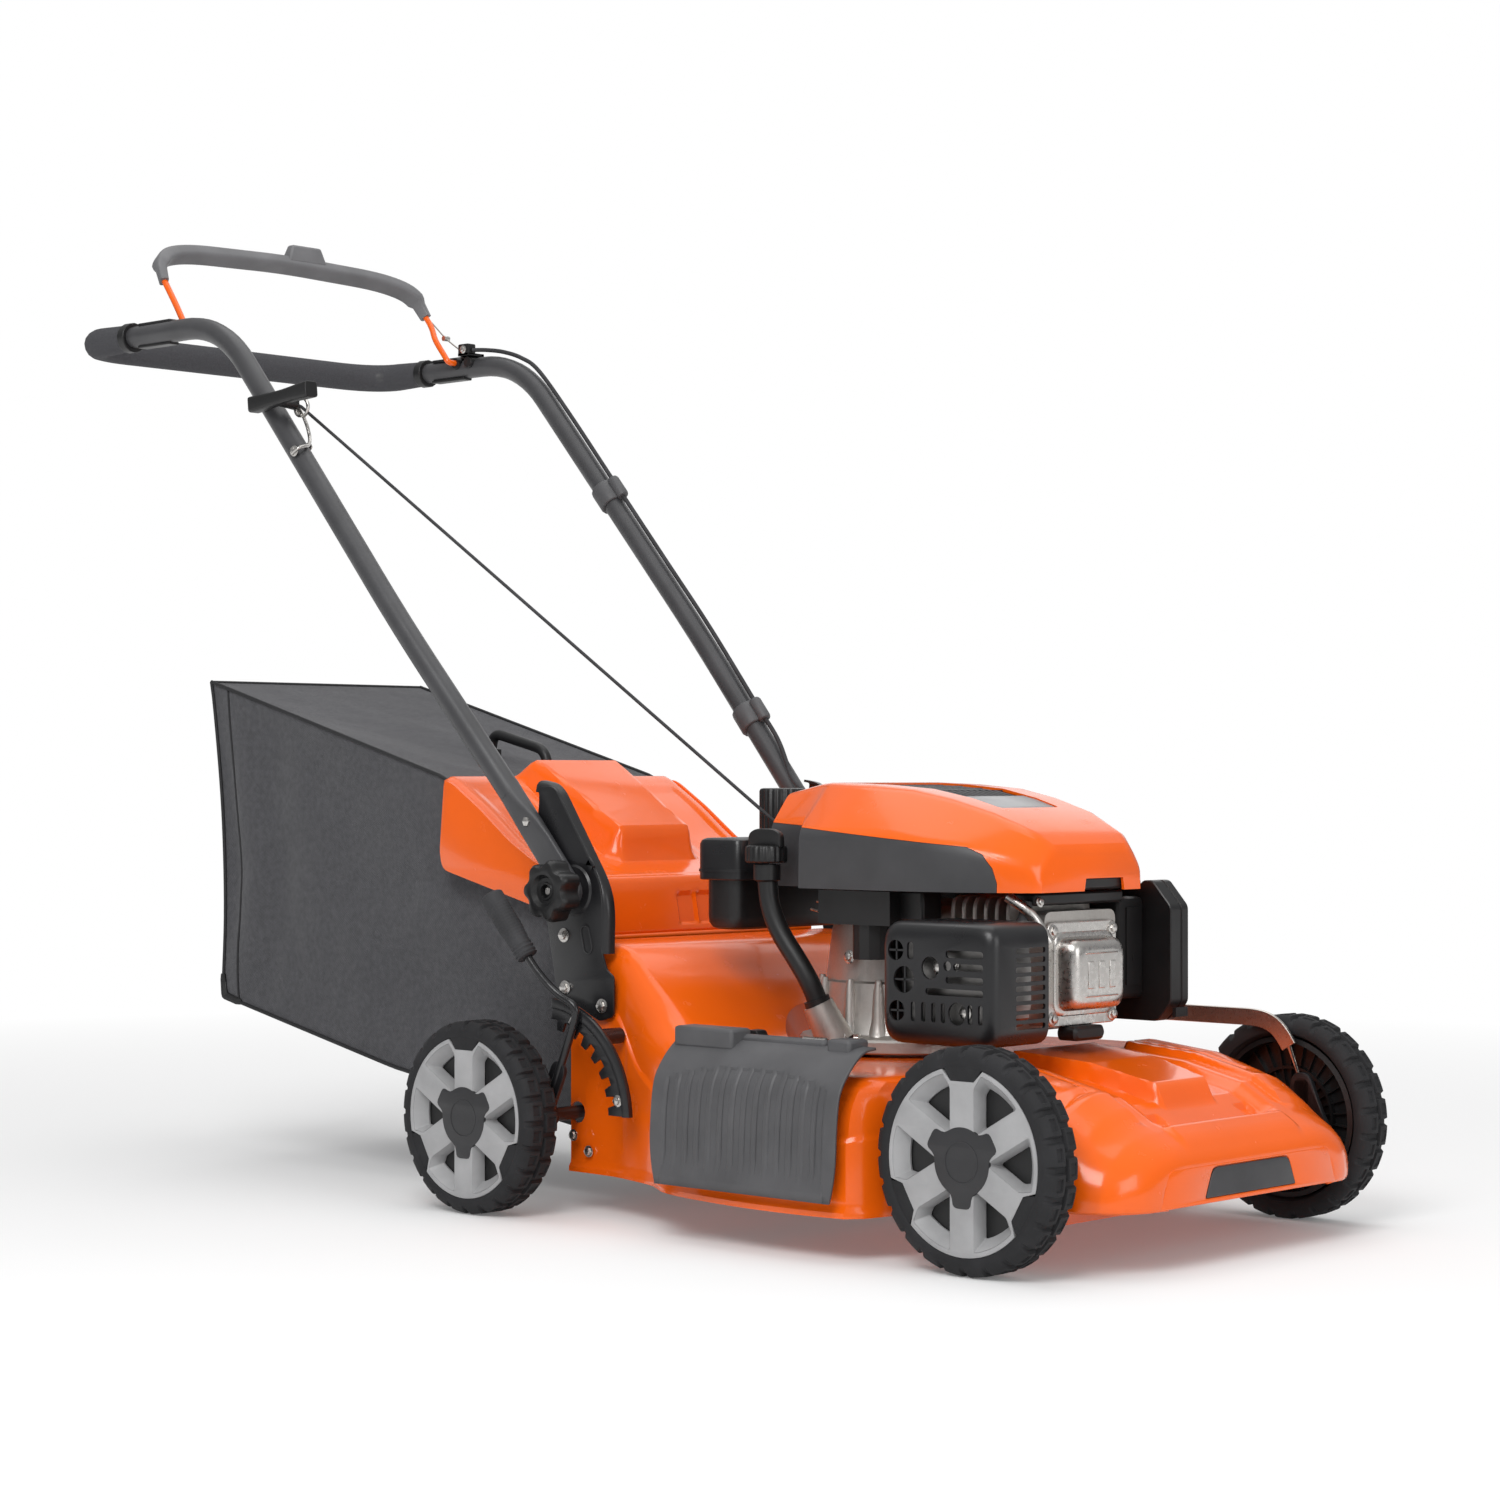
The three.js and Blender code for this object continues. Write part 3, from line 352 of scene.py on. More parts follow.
CAST = make_cast("cast_alloy", "BDB9B4")
WEAVE = make_weave("bag_weave", "4C4C4F")
PIPING = make_plastic("bag_piping", "1C1C1E", 0.6)
WIRE = make_metal("cable_wire", "A6A29C", 0.35)

# The CAD meshes that stay in sight get the look of their slot, or their own.
CAD_LOOKS = {
    "orange_paint": ORANGE, "orange_plastic": ORANGE, "black_plastic": BLACK, "grey_plastic": DARK_GREY,
    "silver_plastic": SILVER, "black_rubber": GRIP, "tyre_rubber": TYRE, "handle_paint": TUBE,
    "plated_steel": ZINC, "cast_aluminium": CAST, "bag_fabric": WEAVE, "grip_foam": FOAM,
}
slot_of = {part["node"]: part["material_slot"] for part in frame["record"]["subparts"]}
own_look = {"front_axle": BLACK_PAINT, "rear_axle": BLACK_PAINT, "cutting_blade": BLADE, "muffler": BLADE}
for name, node in frame["nodes"].items():
    node.data.materials.clear()
    node.data.materials.append(own_look.get(name, CAD_LOOKS[slot_of[name]]))


# ---------- shapes: (points, faces), in millimetres ----------
def merge(*shapes):
    points, faces = [], []
    for more_points, more_faces in shapes:
        start = len(points)
        points += more_points
        faces += [[i + start for i in face] for face in more_faces]
    return points, faces


def mapped(shape, change):
    points, faces = shape
    return [change(*p) for p in points], faces


def mirrored(shape):
    return mapped(shape, lambda x, y, z: (-x, y, z))


PLACES = {
    "X": lambda a, b, c: (c, a, b),
    "Y": lambda a, b, c: (a, c, b),
    "Z": lambda a, b, c: (a, b, c),
}


def prism(outline, axis, low, high, top=None):
    """An outline given a thickness along an axis. top is the outline at the high end."""
    put, n = PLACES[axis], len(outline)
    points = [put(a, b, low) for a, b in outline] + [put(a, b, high) for a, b in top or outline]
    sides = [[i, (i + 1) % n, n + (i + 1) % n, n + i] for i in range(n)]
    return points, [list(range(n)), list(range(n, 2 * n)), *sides]


def block(x0, x1, y0, y1, z0, z1):
    return prism(rect(x0, x1, y0, y1), "Z", z0, z1)


def rect(a0, a1, b0, b1):
    return [(a0, b0), (a1, b0), (a1, b1), (a0, b1)]


def grid(rows, wrap=False, loop=False, ends=False):
    """A surface through rows of points. wrap closes each row, loop joins the last row to the first,
    and ends puts a face over the first and the last row."""
    size, count = len(rows[0]), len(rows)
    points = [tuple(p) for row in rows for p in row]
    faces = []
    for r in range(count if loop else count - 1):
        below, above = r * size, (r + 1) % count * size
        for i in range(size if wrap else size - 1):
            j = (i + 1) % size
            faces.append([below + i, below + j, above + j, above + i])
    if ends:
        faces.append(list(range(size)))
        faces.append(list(range((count - 1) * size, count * size)))
    return points, faces


def lathe(profile, centre, axis="X", steps=48):
    """Turns (radius, along) points about an axis through centre."""
    put = PLACES[axis]
    rows = []
    for k in range(steps):
        angle = 2 * pi * k / steps
        ring = [put(r * cos(angle), r * sin(angle), along) for r, along in profile]
        rows.append([tuple(c + p for c, p in zip(centre, spot)) for spot in ring])
    return grid(rows, wrap=True, loop=True)


def rounded(outline, radius, steps=4):
    """An outline with its corners rounded. radius is one number or one for each corner."""
    out = []
    for i in range(len(outline)):
        here, before, after = (Vector(outline[j % len(outline)]) for j in (i, i - 1, i + 1))
        reach = radius[i] if hasattr(radius, "__len__") else radius
        start = here + (before - here) * min(0.48, reach / max((before - here).length, 1e-6))
        end = here + (after - here) * min(0.48, reach / max((after - here).length, 1e-6))
        for k in range(steps + 1):
            t = k / steps
            out.append(tuple(start * (1 - t) ** 2 + here * 2 * t * (1 - t) + end * t ** 2))
    return out


def arc(centre, radius, start, end, steps=8):
    spots = [radians(start + (end - start) * k / steps) for k in range(steps + 1)]
    return [(centre[0] + radius * cos(a), centre[1] + radius * sin(a)) for a in spots]


def disc(centre, radius, steps=20):
    return arc(centre, radius, 0, 360 * (steps - 1) / steps, steps - 1)


def capsule(a, b, radius, steps=8):
    course = degrees(atan2(b[1] - a[1], b[0] - a[0]))
    return arc(b, radius, course - 90, course + 90, steps) + arc(a, radius, course + 90, course + 270,
                                                                 steps)


def bent(points, radius, steps=7):
    """A path whose corners are rounded."""
    out = [Vector(points[0])]
    for i in range(1, len(points) - 1):
        here, before, after = Vector(points[i]), Vector(points[i - 1]), Vector(points[i + 1])
        start = here.lerp(before, min(0.47, radius / (before - here).length))
        end = here.lerp(after, min(0.47, radius / (after - here).length))
        for k in range(steps + 1):
            t = k / steps
            out.append(start * (1 - t) ** 2 + here * 2 * t * (1 - t) + end * t ** 2)
    return out + [Vector(points[-1])]


def smooth(points, steps=6):
    """A curve through the points."""
    p = [Vector(q) for q in points]
    p = [p[0] * 2 - p[1], *p, p[-1] * 2 - p[-2]]
    out = []
    for i in range(1, len(p) - 2):
        for k in range(steps):
            t = k / steps
            out.append(0.5 * (2 * p[i] + (p[i + 1] - p[i - 1]) * t
                              + (2 * p[i - 1] - 5 * p[i] + 4 * p[i + 1] - p[i + 2]) * t ** 2
                              + (3 * p[i] - p[i - 1] - 3 * p[i + 1] + p[i + 2]) * t ** 3))
    return out + [p[-2]]


def heading(path, i):
    """The direction of a path at its point i."""
    return (path[min(i + 1, len(path) - 1)] - path[max(i - 1, 0)]).normalized()


def swept(path, section, up=None):
    """A section carried along a path: a radius, an outline, or a function of the share of the way."""
    path = [Vector(p) for p in path]
    side, rows = None, []
    for i, spot in enumerate(path):
        ahead = heading(path, i)
        guide = Vector(up) if up else (side.cross(ahead) if side else ahead.orthogonal())
        side = ahead.cross(guide).normalized()
        across = side.cross(ahead).normalized()
        if up is None:
            side = ahead.cross(across).normalized()
        share = i / (len(path) - 1)
        shape = section(share) if callable(section) else section
        if not hasattr(shape, "__len__"):
            shape = disc((0, 0), shape, 16)
        rows.append([tuple(spot + side * a + across * b) for a, b in shape])
    return grid(rows, wrap=True, ends=True)


def plate(outlines, axis, low, high, edge=0.8):
    """A flat plate with rounded edges. The first outline is its edge, the others are holes."""
    curve = bpy.data.curves.new("plate", "CURVE")
    curve.dimensions = "2D"
    curve.fill_mode = "BOTH"
    curve.extrude = max((high - low) / 2 - edge, 0.01)
    curve.bevel_depth = edge
    curve.bevel_resolution = 1
    curve.offset = -edge
    for outline in outlines:
        spline = curve.splines.new("POLY")
        spline.points.add(len(outline) - 1)
        for point, (a, b) in zip(spline.points, outline):
            point.co = (a, b, 0, 1)
        spline.use_cyclic_u = True
    holder = bpy.data.objects.new("plate", curve)
    bpy.context.scene.collection.objects.link(holder)
    graph = bpy.context.evaluated_depsgraph_get()
    made = bpy.data.meshes.new_from_object(holder.evaluated_get(graph))
    put, middle = PLACES[axis], (low + high) / 2
    points = [put(v.co.x, v.co.y, v.co.z + middle) for v in made.vertices]
    faces = [list(f.vertices) for f in made.polygons]
    bpy.data.objects.remove(holder)
    bpy.data.curves.remove(curve)
    bpy.data.meshes.remove(made)
    return points, faces


def loose(shape):
    """A shape as an object that isn't kept."""
    points, faces = shape
    data = bpy.data.meshes.new("loose")
    data.from_pydata(points, [], faces)
    bm = bmesh.new()
    bm.from_mesh(data)
    bmesh.ops.remove_doubles(bm, verts=bm.verts, dist=0.005)
    bmesh.ops.recalc_face_normals(bm, faces=bm.faces)
    bm.to_mesh(data)
    bm.free()
    obj = bpy.data.objects.new("loose", data)
    bpy.context.scene.collection.objects.link(obj)
    return obj


def carved(shape, *cutters, keep=False):
    """A shape with others cut away, or with keep only what lies inside them."""
    body = loose(shape)
    tools = [loose(cutter) for cutter in cutters]
    for tool in tools:
        cut = body.modifiers.new("cut", "BOOLEAN")
        cut.object = tool
        cut.solver = "EXACT"
        cut.operation = "INTERSECT" if keep else "DIFFERENCE"
    made = bpy.data.meshes.new_from_object(body.evaluated_get(bpy.context.evaluated_depsgraph_get()))
    points = [tuple(v.co) for v in made.vertices]
    faces = [list(f.vertices) for f in made.polygons]
    for obj in [body, *tools]:
        data = obj.data
        bpy.data.objects.remove(obj)
        bpy.data.meshes.remove(data)
    bpy.data.meshes.remove(made)
    return points, faces


def step(value, low, high):
    """0 below low, 1 above high, and an eased rise between them."""
    t = min(max((value - low) / (high - low), 0), 1)
    return t * t * (3 - 2 * t)


def between(table, y):
    """Each column of a table sorted by y, read at y along straight lines."""
    for low, high in zip(table, table[1:]):
        if y <= high[0]:
            t = max(0, (y - low[0]) / (high[0] - low[0]))
            return [a + (b - a) * t for a, b in zip(low[1:], high[1:])]
    return list(table[-1][1:])


def bolt(spot, direction, size=8):
    """A hex bolt's head on its flange, with a chamfered top."""
    out = Vector(direction).normalized()
    turn = out.to_track_quat("Z", "Y")
    rings = []
    for z, r in ((0, size * 0.58), (size * 0.5, size * 0.58), (size * 0.58, size * 0.45)):
        rings.append([(r * cos(pi * k / 3), r * sin(pi * k / 3), z) for k in range(6)])
    profile = [(0.01, 0), (size * 0.85, 0), (size * 0.85, size * 0.1), (size * 0.6, size * 0.2),
               (0.01, size * 0.2)]
    head = merge(grid(rings, wrap=True, ends=True), lathe(profile, (0, 0, 0), "Z", 20))
    return mapped(head, lambda x, y, z: tuple(Vector(spot) + turn @ Vector((x, y, z))))


def piece(name, shape, look, body, *nodes, edge=0, sharp=38, wall=0, offset=-1):
    """Makes an object of a shape, rides it on a body and hides the CAD nodes that it stands for.
    edge bevels its edges and wall thickens a surface, both in millimetres."""
    points, faces = shape
    data = bpy.data.meshes.new(name)
    data.from_pydata([at(*p) for p in points], [], faces)
    bm = bmesh.new()
    bm.from_mesh(data)
    bmesh.ops.remove_doubles(bm, verts=bm.verts, dist=0.00001)
    bmesh.ops.recalc_face_normals(bm, faces=bm.faces)
    bm.to_mesh(data)
    bm.free()
    data.materials.append(look)
    data.shade_smooth()
    data.set_sharp_from_angle(angle=radians(sharp))
    obj = bpy.data.objects.new(name, data)
    bpy.context.scene.collection.objects.link(obj)
    if wall:
        walls = obj.modifiers.new("wall", "SOLIDIFY")
        walls.thickness = wall / 1000
        walls.offset = offset
    if edge:
        bevel = obj.modifiers.new("edge", "BEVEL")
        bevel.width = edge / 1000
        bevel.segments = 2
        bevel.limit_method = "ANGLE"
        bevel.angle_limit = radians(32)
    if body:
        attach(obj, body)
    if nodes:
        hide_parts(*nodes)
    return obj


# ---------- wheels ----------
LUGS = 24
LUG_DEPTH = 3.4
SPOKE_HALF = 13.5
BITES = (90, 210, 330)
WEB_RIBS = 30


def lug_height(share, across, half):
    """How much of a lug stands at a share of the pitch; each lug is a raised frame."""
    side = abs(across)
    lug = step(share, 0.08, 0.15) * (1 - step(share, 0.85, 0.92)) * step(side, 1.2, 2.4)
    recess = step(share, 0.27, 0.32) * (1 - step(share, 0.68, 0.73))
    recess *= step(side, 5, 5.8) * (1 - step(side, half - 8.2, half - 7.4))
    return lug * (1 - 0.5 * recess)


def tyre_shape(radius, width, rim):
    """A closed tyre with two staggered rows of lugs."""
    half = width / 2
    edge = [(half - 9, rim - 3, 0), (half - 4, rim + 0.2, 0), (half - 1.2, rim + 0.3, 0),
            (half - 0.9, rim + 1, 0), (half - 0.2, rim + 3, 0), (half, radius - 11, 0),
            (half - 0.8, radius - 7.5, 0.35), (half - 2.6, radius - 4, 0.8), (half - 5, radius - 1.4, 1),
            (half - 7.4, radius - 0.3, 1), (half - 8.2, radius, 1)]
    middle = [(5.8, radius, 1), (5, radius, 1), (2.4, radius, 1), (1.2, radius, 1), (0, radius, 1)]
    near = edge + middle
    profile = near + [(-s, r, k) for s, r, k in reversed(near[:-1])]
    stops = sorted({(t + shift) % 1 for t in (0, 0.08, 0.15, 0.27, 0.32, 0.5, 0.68, 0.73, 0.85, 0.92)
                    for shift in (0, 0.5)})
    rows = []
    for lug in range(LUGS):
        for stop in stops:
            angle = 2 * pi * (lug + stop) / LUGS
            row = []
            for s, r, share in profile:
                phase = (stop + (0.5 if s < 0 else 0)) % 1
                low = LUG_DEPTH * share * (1 - lug_height(phase, s, half))
                row.append((s, (r - low) * cos(angle), (r - low) * sin(angle)))
            rows.append(row)
    return grid(rows, wrap=True, loop=True)


def turned(angle, along, away):
    """A point given along and across a direction."""
    return along * cos(angle) - away * sin(angle), along * sin(angle) + away * cos(angle)


def bite_tabs(half, rim):
    """The parts of the tyre that fill the rim's three bites."""
    tabs = []
    for bite in BITES:
        corners = [(rim + 1, -23.5), (rim - 13.5, -13.2), (rim - 13.5, 13.2), (rim + 1, 23.5)]
        outline = [turned(radians(bite), a, b) for a, b in corners]
        tabs.append(plate([rounded(outline, 2, 2)], "X", half - 6, half - 1.3, 0.6))
    return merge(*tabs)


def window(bite, side, gap, far, cut):
    """One opening between a spoke with a bite at its end and its neighbour, set in by gap."""
    near = radians(bite)
    off = SPOKE_HALF + gap
    outline = [turned(near + side * pi / 6, 2 * off, 0)]
    first = sqrt(far ** 2 - off ** 2)
    outline.append(turned(near, first - cut, side * off))
    start = asin((off + cut * 0.62) / far)
    end = pi / 3 - asin(off / far)
    for k in range(9):
        angle = near + side * (start + (end - start) * k / 8)
        outline.append(turned(angle, far, 0))
    return rounded(outline, [3, 2] + [1.2] * 8 + [2.5], 2)


def rim_outline(rim):
    """The rim's round edge with three bites taken out of it by the tyre."""
    outline = []
    for bite in BITES:
        for along, away in ((rim - 0.4, -23), (rim - 13, -13), (rim - 13, 13), (rim - 0.4, 23)):
            reach = sqrt(rim ** 2 - away ** 2) if along > rim - 1 else along
            outline.append(turned(radians(bite), reach, away))
        swing = degrees(asin(23 / rim))
        outline += arc((0, 0), rim, bite + swing + 3, bite + 120 - swing - 3, 18)
    return outline


def cap_outline():
    """A round cap with three ears, each opposite a bite."""
    outline = []
    for ear in BITES:
        opposite = ear + 180
        ends = ((31, -26), (33, -20), (40.5, -14), (41.5, -9), (41.5, 9), (40.5, 14), (33, 20), (31, 26))
        outline += [turned(radians(opposite + t), r, 0) for r, t in ends]
        outline += arc((0, 0), 31, opposite + 34, opposite + 86, 6)
    return rounded(outline, 1.5, 1)


def wheel(name, size, side):
    """Tyre, spoked face, ribbed inner web and hub cap. side is -1 on the right."""
    half, rim, body = size["width"] / 2, size["rim"], "wheel_" + name
    middle = size["outer"] - half

    def place(shape):
        return mapped(shape, lambda x, y, z: (side * (middle + x), size["y"] + y, size["radius"] + z))

    tyre = merge(tyre_shape(size["radius"], size["width"], rim), bite_tabs(half, rim))
    piece(name + "_tread", place(tyre), TYRE, body, name + "_tyre", sharp=30)
    windows = [(bite, way) for bite in BITES for way in (-1, 1)]
    face = half - 0.8
    outlines = [rim_outline(rim)] + [window(b, way, 0, rim - 4.5, 13) for b,
                                     way in windows] + [disc((0, 0), 20)]
    parts = [plate(outlines, "X", face - 4, face, 0.7)]
    for bite, way in windows:
        outer = window(bite, way, 0.2, rim - 4.8, 13)
        inner = window(bite, way, 3.2, rim - 15, 8)
        floor, back = face - 12, face - 14
        behind = window(bite, way, -1.2, rim - 3, 13)
        rings = ((face - 0.5, outer), (floor, inner), (back, inner), (face - 3.5, behind))
        rows = [[(x, a, b) for a, b in ring] for x, ring in rings]
        parts.append(grid(rows, wrap=True, loop=True))
    piece(name + "_wheel_face", place(merge(*parts)), SILVER, body, name + "_rim", sharp=30)
    web = [(16, face - 14.5), (rim - 13, face - 14.5), (rim - 8, face - 5.5), (rim - 4, face - 5.5),
           (rim - 4, 6 - half), (rim - 9, 4.5 - half), (rim - 9, face - 18), (20, face - 18),
           (20, 5 - half), (16, 4 - half), (9, 4 - half), (9, face - 4), (16, face - 4)]
    ribs = []
    for k in range(WEB_RIBS):
        turn = Matrix.Rotation(2 * pi * k / WEB_RIBS, 3, "X")
        rib = block(face - 22, face - 17.5, -0.8, 0.8, 19, rim - 8.5)
        ribs.append(mapped(rib, lambda x, y, z: tuple(turn @ Vector((x, y, z)))))
    ring = lathe(rect(47, 50, face - 24, face - 17), (0, 0, 0))
    # The web's ribs are real shape, but the web is drawn black rather than in the face's silver, so the
    # windows look dark inside: painted shade behind the spokes.
    piece(name + "_inner_web", place(merge(lathe(web, (0, 0, 0)), ring, *ribs)), BLACK, body, sharp=30)
    raised = disc((0, 0), 19, 36)
    cap = merge(plate([cap_outline()], "X", face - 3, face + 0.7, 0.9),
                plate([raised, disc((0, 0), 17.6, 36)], "X", face - 1, face + 1.1, 0.3))
    piece(name + "_cap", place(cap), CAP_GREY, body, name + "_hub_cap", sharp=30)


for name, size, side in (("front_right", FRONT_WHEEL, -1), ("front_left", FRONT_WHEEL, 1),
                         ("rear_right", REAR_WHEEL, -1), ("rear_left", REAR_WHEEL, 1)):
    wheel(name, size, side)


# ---------- deck, nose, chute cover and flap ----------
REAR_PIVOT = (245, 100)
ENGINE_Y = -10

# y, half width, half width of the flat crown, top and depth of the shoulder.
DECK = [
    (-350, 186, 150, 104, 30), (-300, 203, 165, 128, 35), (-203, 204, 165, 156, 40),
    (-199, 232, 190, 161, 44), (-192, 263, 222, 164, 46), (-180, 277, 236, 165, 50),
    (-82, 284, 240, 165, 50), (20, 272, 222, 167, 50), (70, 256, 194, 180, 60), (110, 230, 184, 206, 70),
    (150, 216, 186, 238, 80), (190, 206, 182, 268, 60), (255, 203, 180, 272, 50),
]


def eased(table, y):
    """Reads a table along a smooth curve instead of straight lines."""
    for i in range(len(table) - 1):
        if y <= table[i + 1][0] or i == len(table) - 2:
            p = [table[max(i - 1, 0)], table[i], table[i + 1], table[min(i + 2, len(table) - 1)]]
            t = (y - p[1][0]) / (p[2][0] - p[1][0])
            out = []
            for column in range(1, len(p[0])):
                a, b, c, d = (row[column] for row in p)
                run = p[2][0] - p[1][0]
                m0 = (c - a) / max(p[2][0] - p[0][0], 1) * run
                m1 = (d - b) / max(p[3][0] - p[1][0], 1) * run
                out.append((2 * t ** 3 - 3 * t ** 2 + 1) * b + (t ** 3 - 2 * t ** 2 + t) * m0
                           + (3 * t ** 2 - 2 * t ** 3) * c + (t ** 3 - t ** 2) * m1)
            return out
    return list(table[-1][1:])


def deck_ring(y, half, crown, top, drop, wall=0, bottom=40, lip=3):
    """One cross-section: rolled lip, upright wall, a small ledge, a round shoulder and a flat crown."""
    half, crown, top = half - wall, crown - wall, top - wall
    shoulder = top - drop
    side = [(half + lip, bottom), (half + lip, bottom + 5), (half + 0.4, bottom + 9), (half, bottom + 14),
            (half, shoulder - 9), (half - 1, shoulder - 6), (half - 3.4, shoulder - 3)]
    for k in range(9):
        angle = pi / 2 * k / 8
        side.append((crown + (half - 4 - crown) * cos(angle), shoulder + drop * sin(angle)))
    return [(x, y, z) for x, z in side] + [(-x, y, z) for x, z in reversed(side)]


def deck():
    """Shell with a round engine recess, a shaft hole, the rear axle's hole and the side outlet."""
    spots = [-350, -325, -300, -270, -240, -203, -199, -192, -180, *range(-160, 256, 8), 255]
    front = [row for row in DECK if row[0] <= -203]
    rear = [row for row in DECK if row[0] >= -203]
    values = [(y, *(eased(front, y) if y <= -203 else eased(rear, y))) for y in spots]
    outer = grid([deck_ring(*v) for v in values], wrap=True, ends=True)
    inner = [deck_ring(*v, wall=3, bottom=30, lip=0) for v in values]
    inner[0] = [(x, y + 3, z) for x, y, z in inner[0]]
    inner[-1] = [(x, y + 15, z) for x, y, z in inner[-1]]
    recess = lathe([(0.01, 168), (104, 168), (112, 176), (150, 300), (0.01, 300)], (0, ENGINE_Y, 0), "Z",
                   96)
    bowl = lathe([(0.01, 165), (107, 165), (116, 175), (154, 300), (0.01, 300)], (0, ENGINE_Y, 0), "Z", 96)
    shell = carved(outer, recess)
    hollow = carved(grid(inner, wrap=True, ends=True), bowl)
    shaft = prism(disc((0, ENGINE_Y), 30, 40), "Z", 90, 230)
    axle = prism(disc(REAR_PIVOT, 11, 24), "X", -290, 290)
    outlet = prism(rect(-165, 40, 62, 128), "X", -320, -240)
    return carved(shell, hollow, shaft, axle, outlet)


piece("deck_shell", deck(), ORANGE, "chassis", "deck", sharp=32)

# The same columns for the front cover.
NOSE = [
    (-430.6, 140, 100, 92, 24), (-429, 158, 106, 99, 30), (-424, 172, 110, 108, 38),
    (-416, 187, 111, 114, 47), (-405, 197, 112, 121, 55), (-385, 207, 115, 131, 61),
    (-354, 211, 125, 149, 62), (-285, 213, 145, 165, 46), (-205, 213, 155, 172, 36),
]


def nose_relief(x, y):
    """Raised hump in the middle, a valley round it, raised fenders and a step before the front edge."""
    side = abs(x)
    half = 40 + (y + 350) * 0.16
    hump = (1 - step(side, half, half + 6)) * step(y, -366, -350)
    valley = (1 - step(side, 76, 100)) * step(y, -398, -386)
    fender = step(side, 112, 118) * step(y, -400, -380)
    ledge = (1 - step(y, -404, -396)) * step(y, -424, -418) * (1 - step(side, 88, 98))
    scoop = step(side, 60, 64) * (1 - step(side, 78, 82)) * step(y, -384, -380) * (1 - step(y, -372, -368))
    groove = step(side, 126, 127.5) * (1 - step(side, 129, 130.5)) * step(y, -378, -372)
    return 17 * hump - 9 * valley + 6 * fender + 4 * ledge - 4.5 * scoop - 1.8 * groove


def nose():
    """Front cover: a skirt, a round shoulder and a top with its relief."""
    spots = [-430.6, -429, -426, -422, -418, -412, *range(-408, -344, 2), *range(-344, -204, 4), -205]
    rows = []
    for y in spots:
        half, crown, top, drop = between(NOSE, y)
        side = [(half - 2.5, 56), (half - 0.4, 58.5), (half, 62), (half, top - drop - 3)]
        for k in range(9):
            angle = pi / 2 * k / 8
            side.append((crown + (half - crown) * cos(angle), top - drop + drop * sin(angle)))
        across = [crown * (1 - k / 76) for k in range(1, 77)]
        rim = nose_relief(crown, y)
        side = [(x, z + rim * step(x, half, crown)) for x, z in side]
        side += [(x, top + nose_relief(x, y)) for x in across]
        rows.append([(x, y, z) for x, z in side] + [(-x, y, z) for x, z in reversed(side[:-1])])
    front = rows[0]
    rows.insert(0, [(x * 0.93, y + 0.4, min(z, 90) * 0.985) for x, y, z in front])
    return grid(rows)


piece("nose_shell", nose(), ORANGE, "chassis", "front_cover", wall=3, sharp=28)
insert = rounded([(-73, 61), (73, 61), (61, 89), (-61, 89)], [2, 2, 7, 7], 3)
face_outline = rounded([(-141, 56.5), (141, 56.5), (128, 91), (-128, 91)], [3, 3, 8, 8], 3)
piece("nose_face", plate([face_outline, insert], "Y", -430.8, -427.6, 0.8), ORANGE, "chassis")
piece("nose_insert", plate([rounded([(-72, 61.5), (72, 61.5), (60, 88), (-60, 88)], [2, 2, 7, 7], 3)], "Y",
                           -431.4, -428.4, 0.7), BAND_GREY, "chassis", "front_insert")


# Section of the chute cover from its hinge down, as (x, z).
COVER = [(-236, 190), (-250, 188), (-262, 181), (-275, 168), (-285, 152), (-289, 130), (-291, 100),
         (-292, 54)]


def chute_cover():
    """Curved panel with upright ribs in a plain border, a bottom lip and rounded lower corners."""
    path = smooth([(x, 0, z) for x, z in COVER], 5)
    rows = []
    low, high = -181, 53
    columns, ribs = 234, 16
    for k in range(columns + 1):
        share = k / columns
        y = low + (high - low) * share
        row = []
        for i, p in enumerate(path):
            way = i / (len(path) - 1)
            inside = step(share, 0.06, 0.07) * (1 - step(share, 0.93, 0.94))
            arch = 0.42 + 0.16 * (2 * share - 1) ** 2
            panel = inside * step(way, arch, arch + 0.03) * (1 - step(way, 0.93, 0.95))
            rib = 0.5 + 0.5 * cos(2 * pi * share * ribs)
            deep = 2.6 * panel - 1.4 * panel * step(rib, 0.8, 0.93)
            lip = 2.2 * step(way, 0.965, 0.985)
            corner = 14 * max(0, way - 0.86) / 0.14
            pull = corner ** 2 / 28
            y_now = min(max(y, low + pull), high - pull)
            row.append((p.x + deep - lip * inside, y_now, p.z))
        rows.append(row)
    return grid(rows)


piece("chute_cover_panel", chute_cover(), DARK_GREY, "chute_cover", "side_chute_cover", wall=2.6, offset=1,
      sharp=25)


def chute_hinge():
    """Barrel along the top of the cover with a raised saddle and a small boss."""
    barrel = swept([(-240, -128, 189), (-240, 20, 189)], rounded([(-9, -6), (9, -6), (8, 6), (-8, 6)], 4,
                                                                 2))
    saddle = block(-264, -236, -26, 50, 182, 202)
    boss = block(-256, -228, -166, -138, 185, 199)
    return merge(barrel, saddle, boss)


piece("chute_cover_hinge", chute_hinge(), DARK_GREY, "chute_cover", edge=3.5, sharp=30)
piece("chute_spring", merge(*[lathe([(4.2, y), (5.4, y + 0.8), (4.2, y + 1.6)], (-240, 0, 193), "Y", 16)
                              for y in range(-124, -96, 2)]), ZINC, "chute_cover")


def latch():
    """Hook behind the hinge that holds the chute cover down."""
    hook = rounded([(-42, 172), (-8, 172), (-2, 190), (6, 192), (6, 197), (-8, 197), (-14, 184),
                    (-42, 182)], 3, 2)
    return merge(prism(hook, "X", -210, -196), block(-212, -186, -34, -18, 170, 186))


piece("chute_latch", latch(), BLACK, "chassis", edge=1.5)

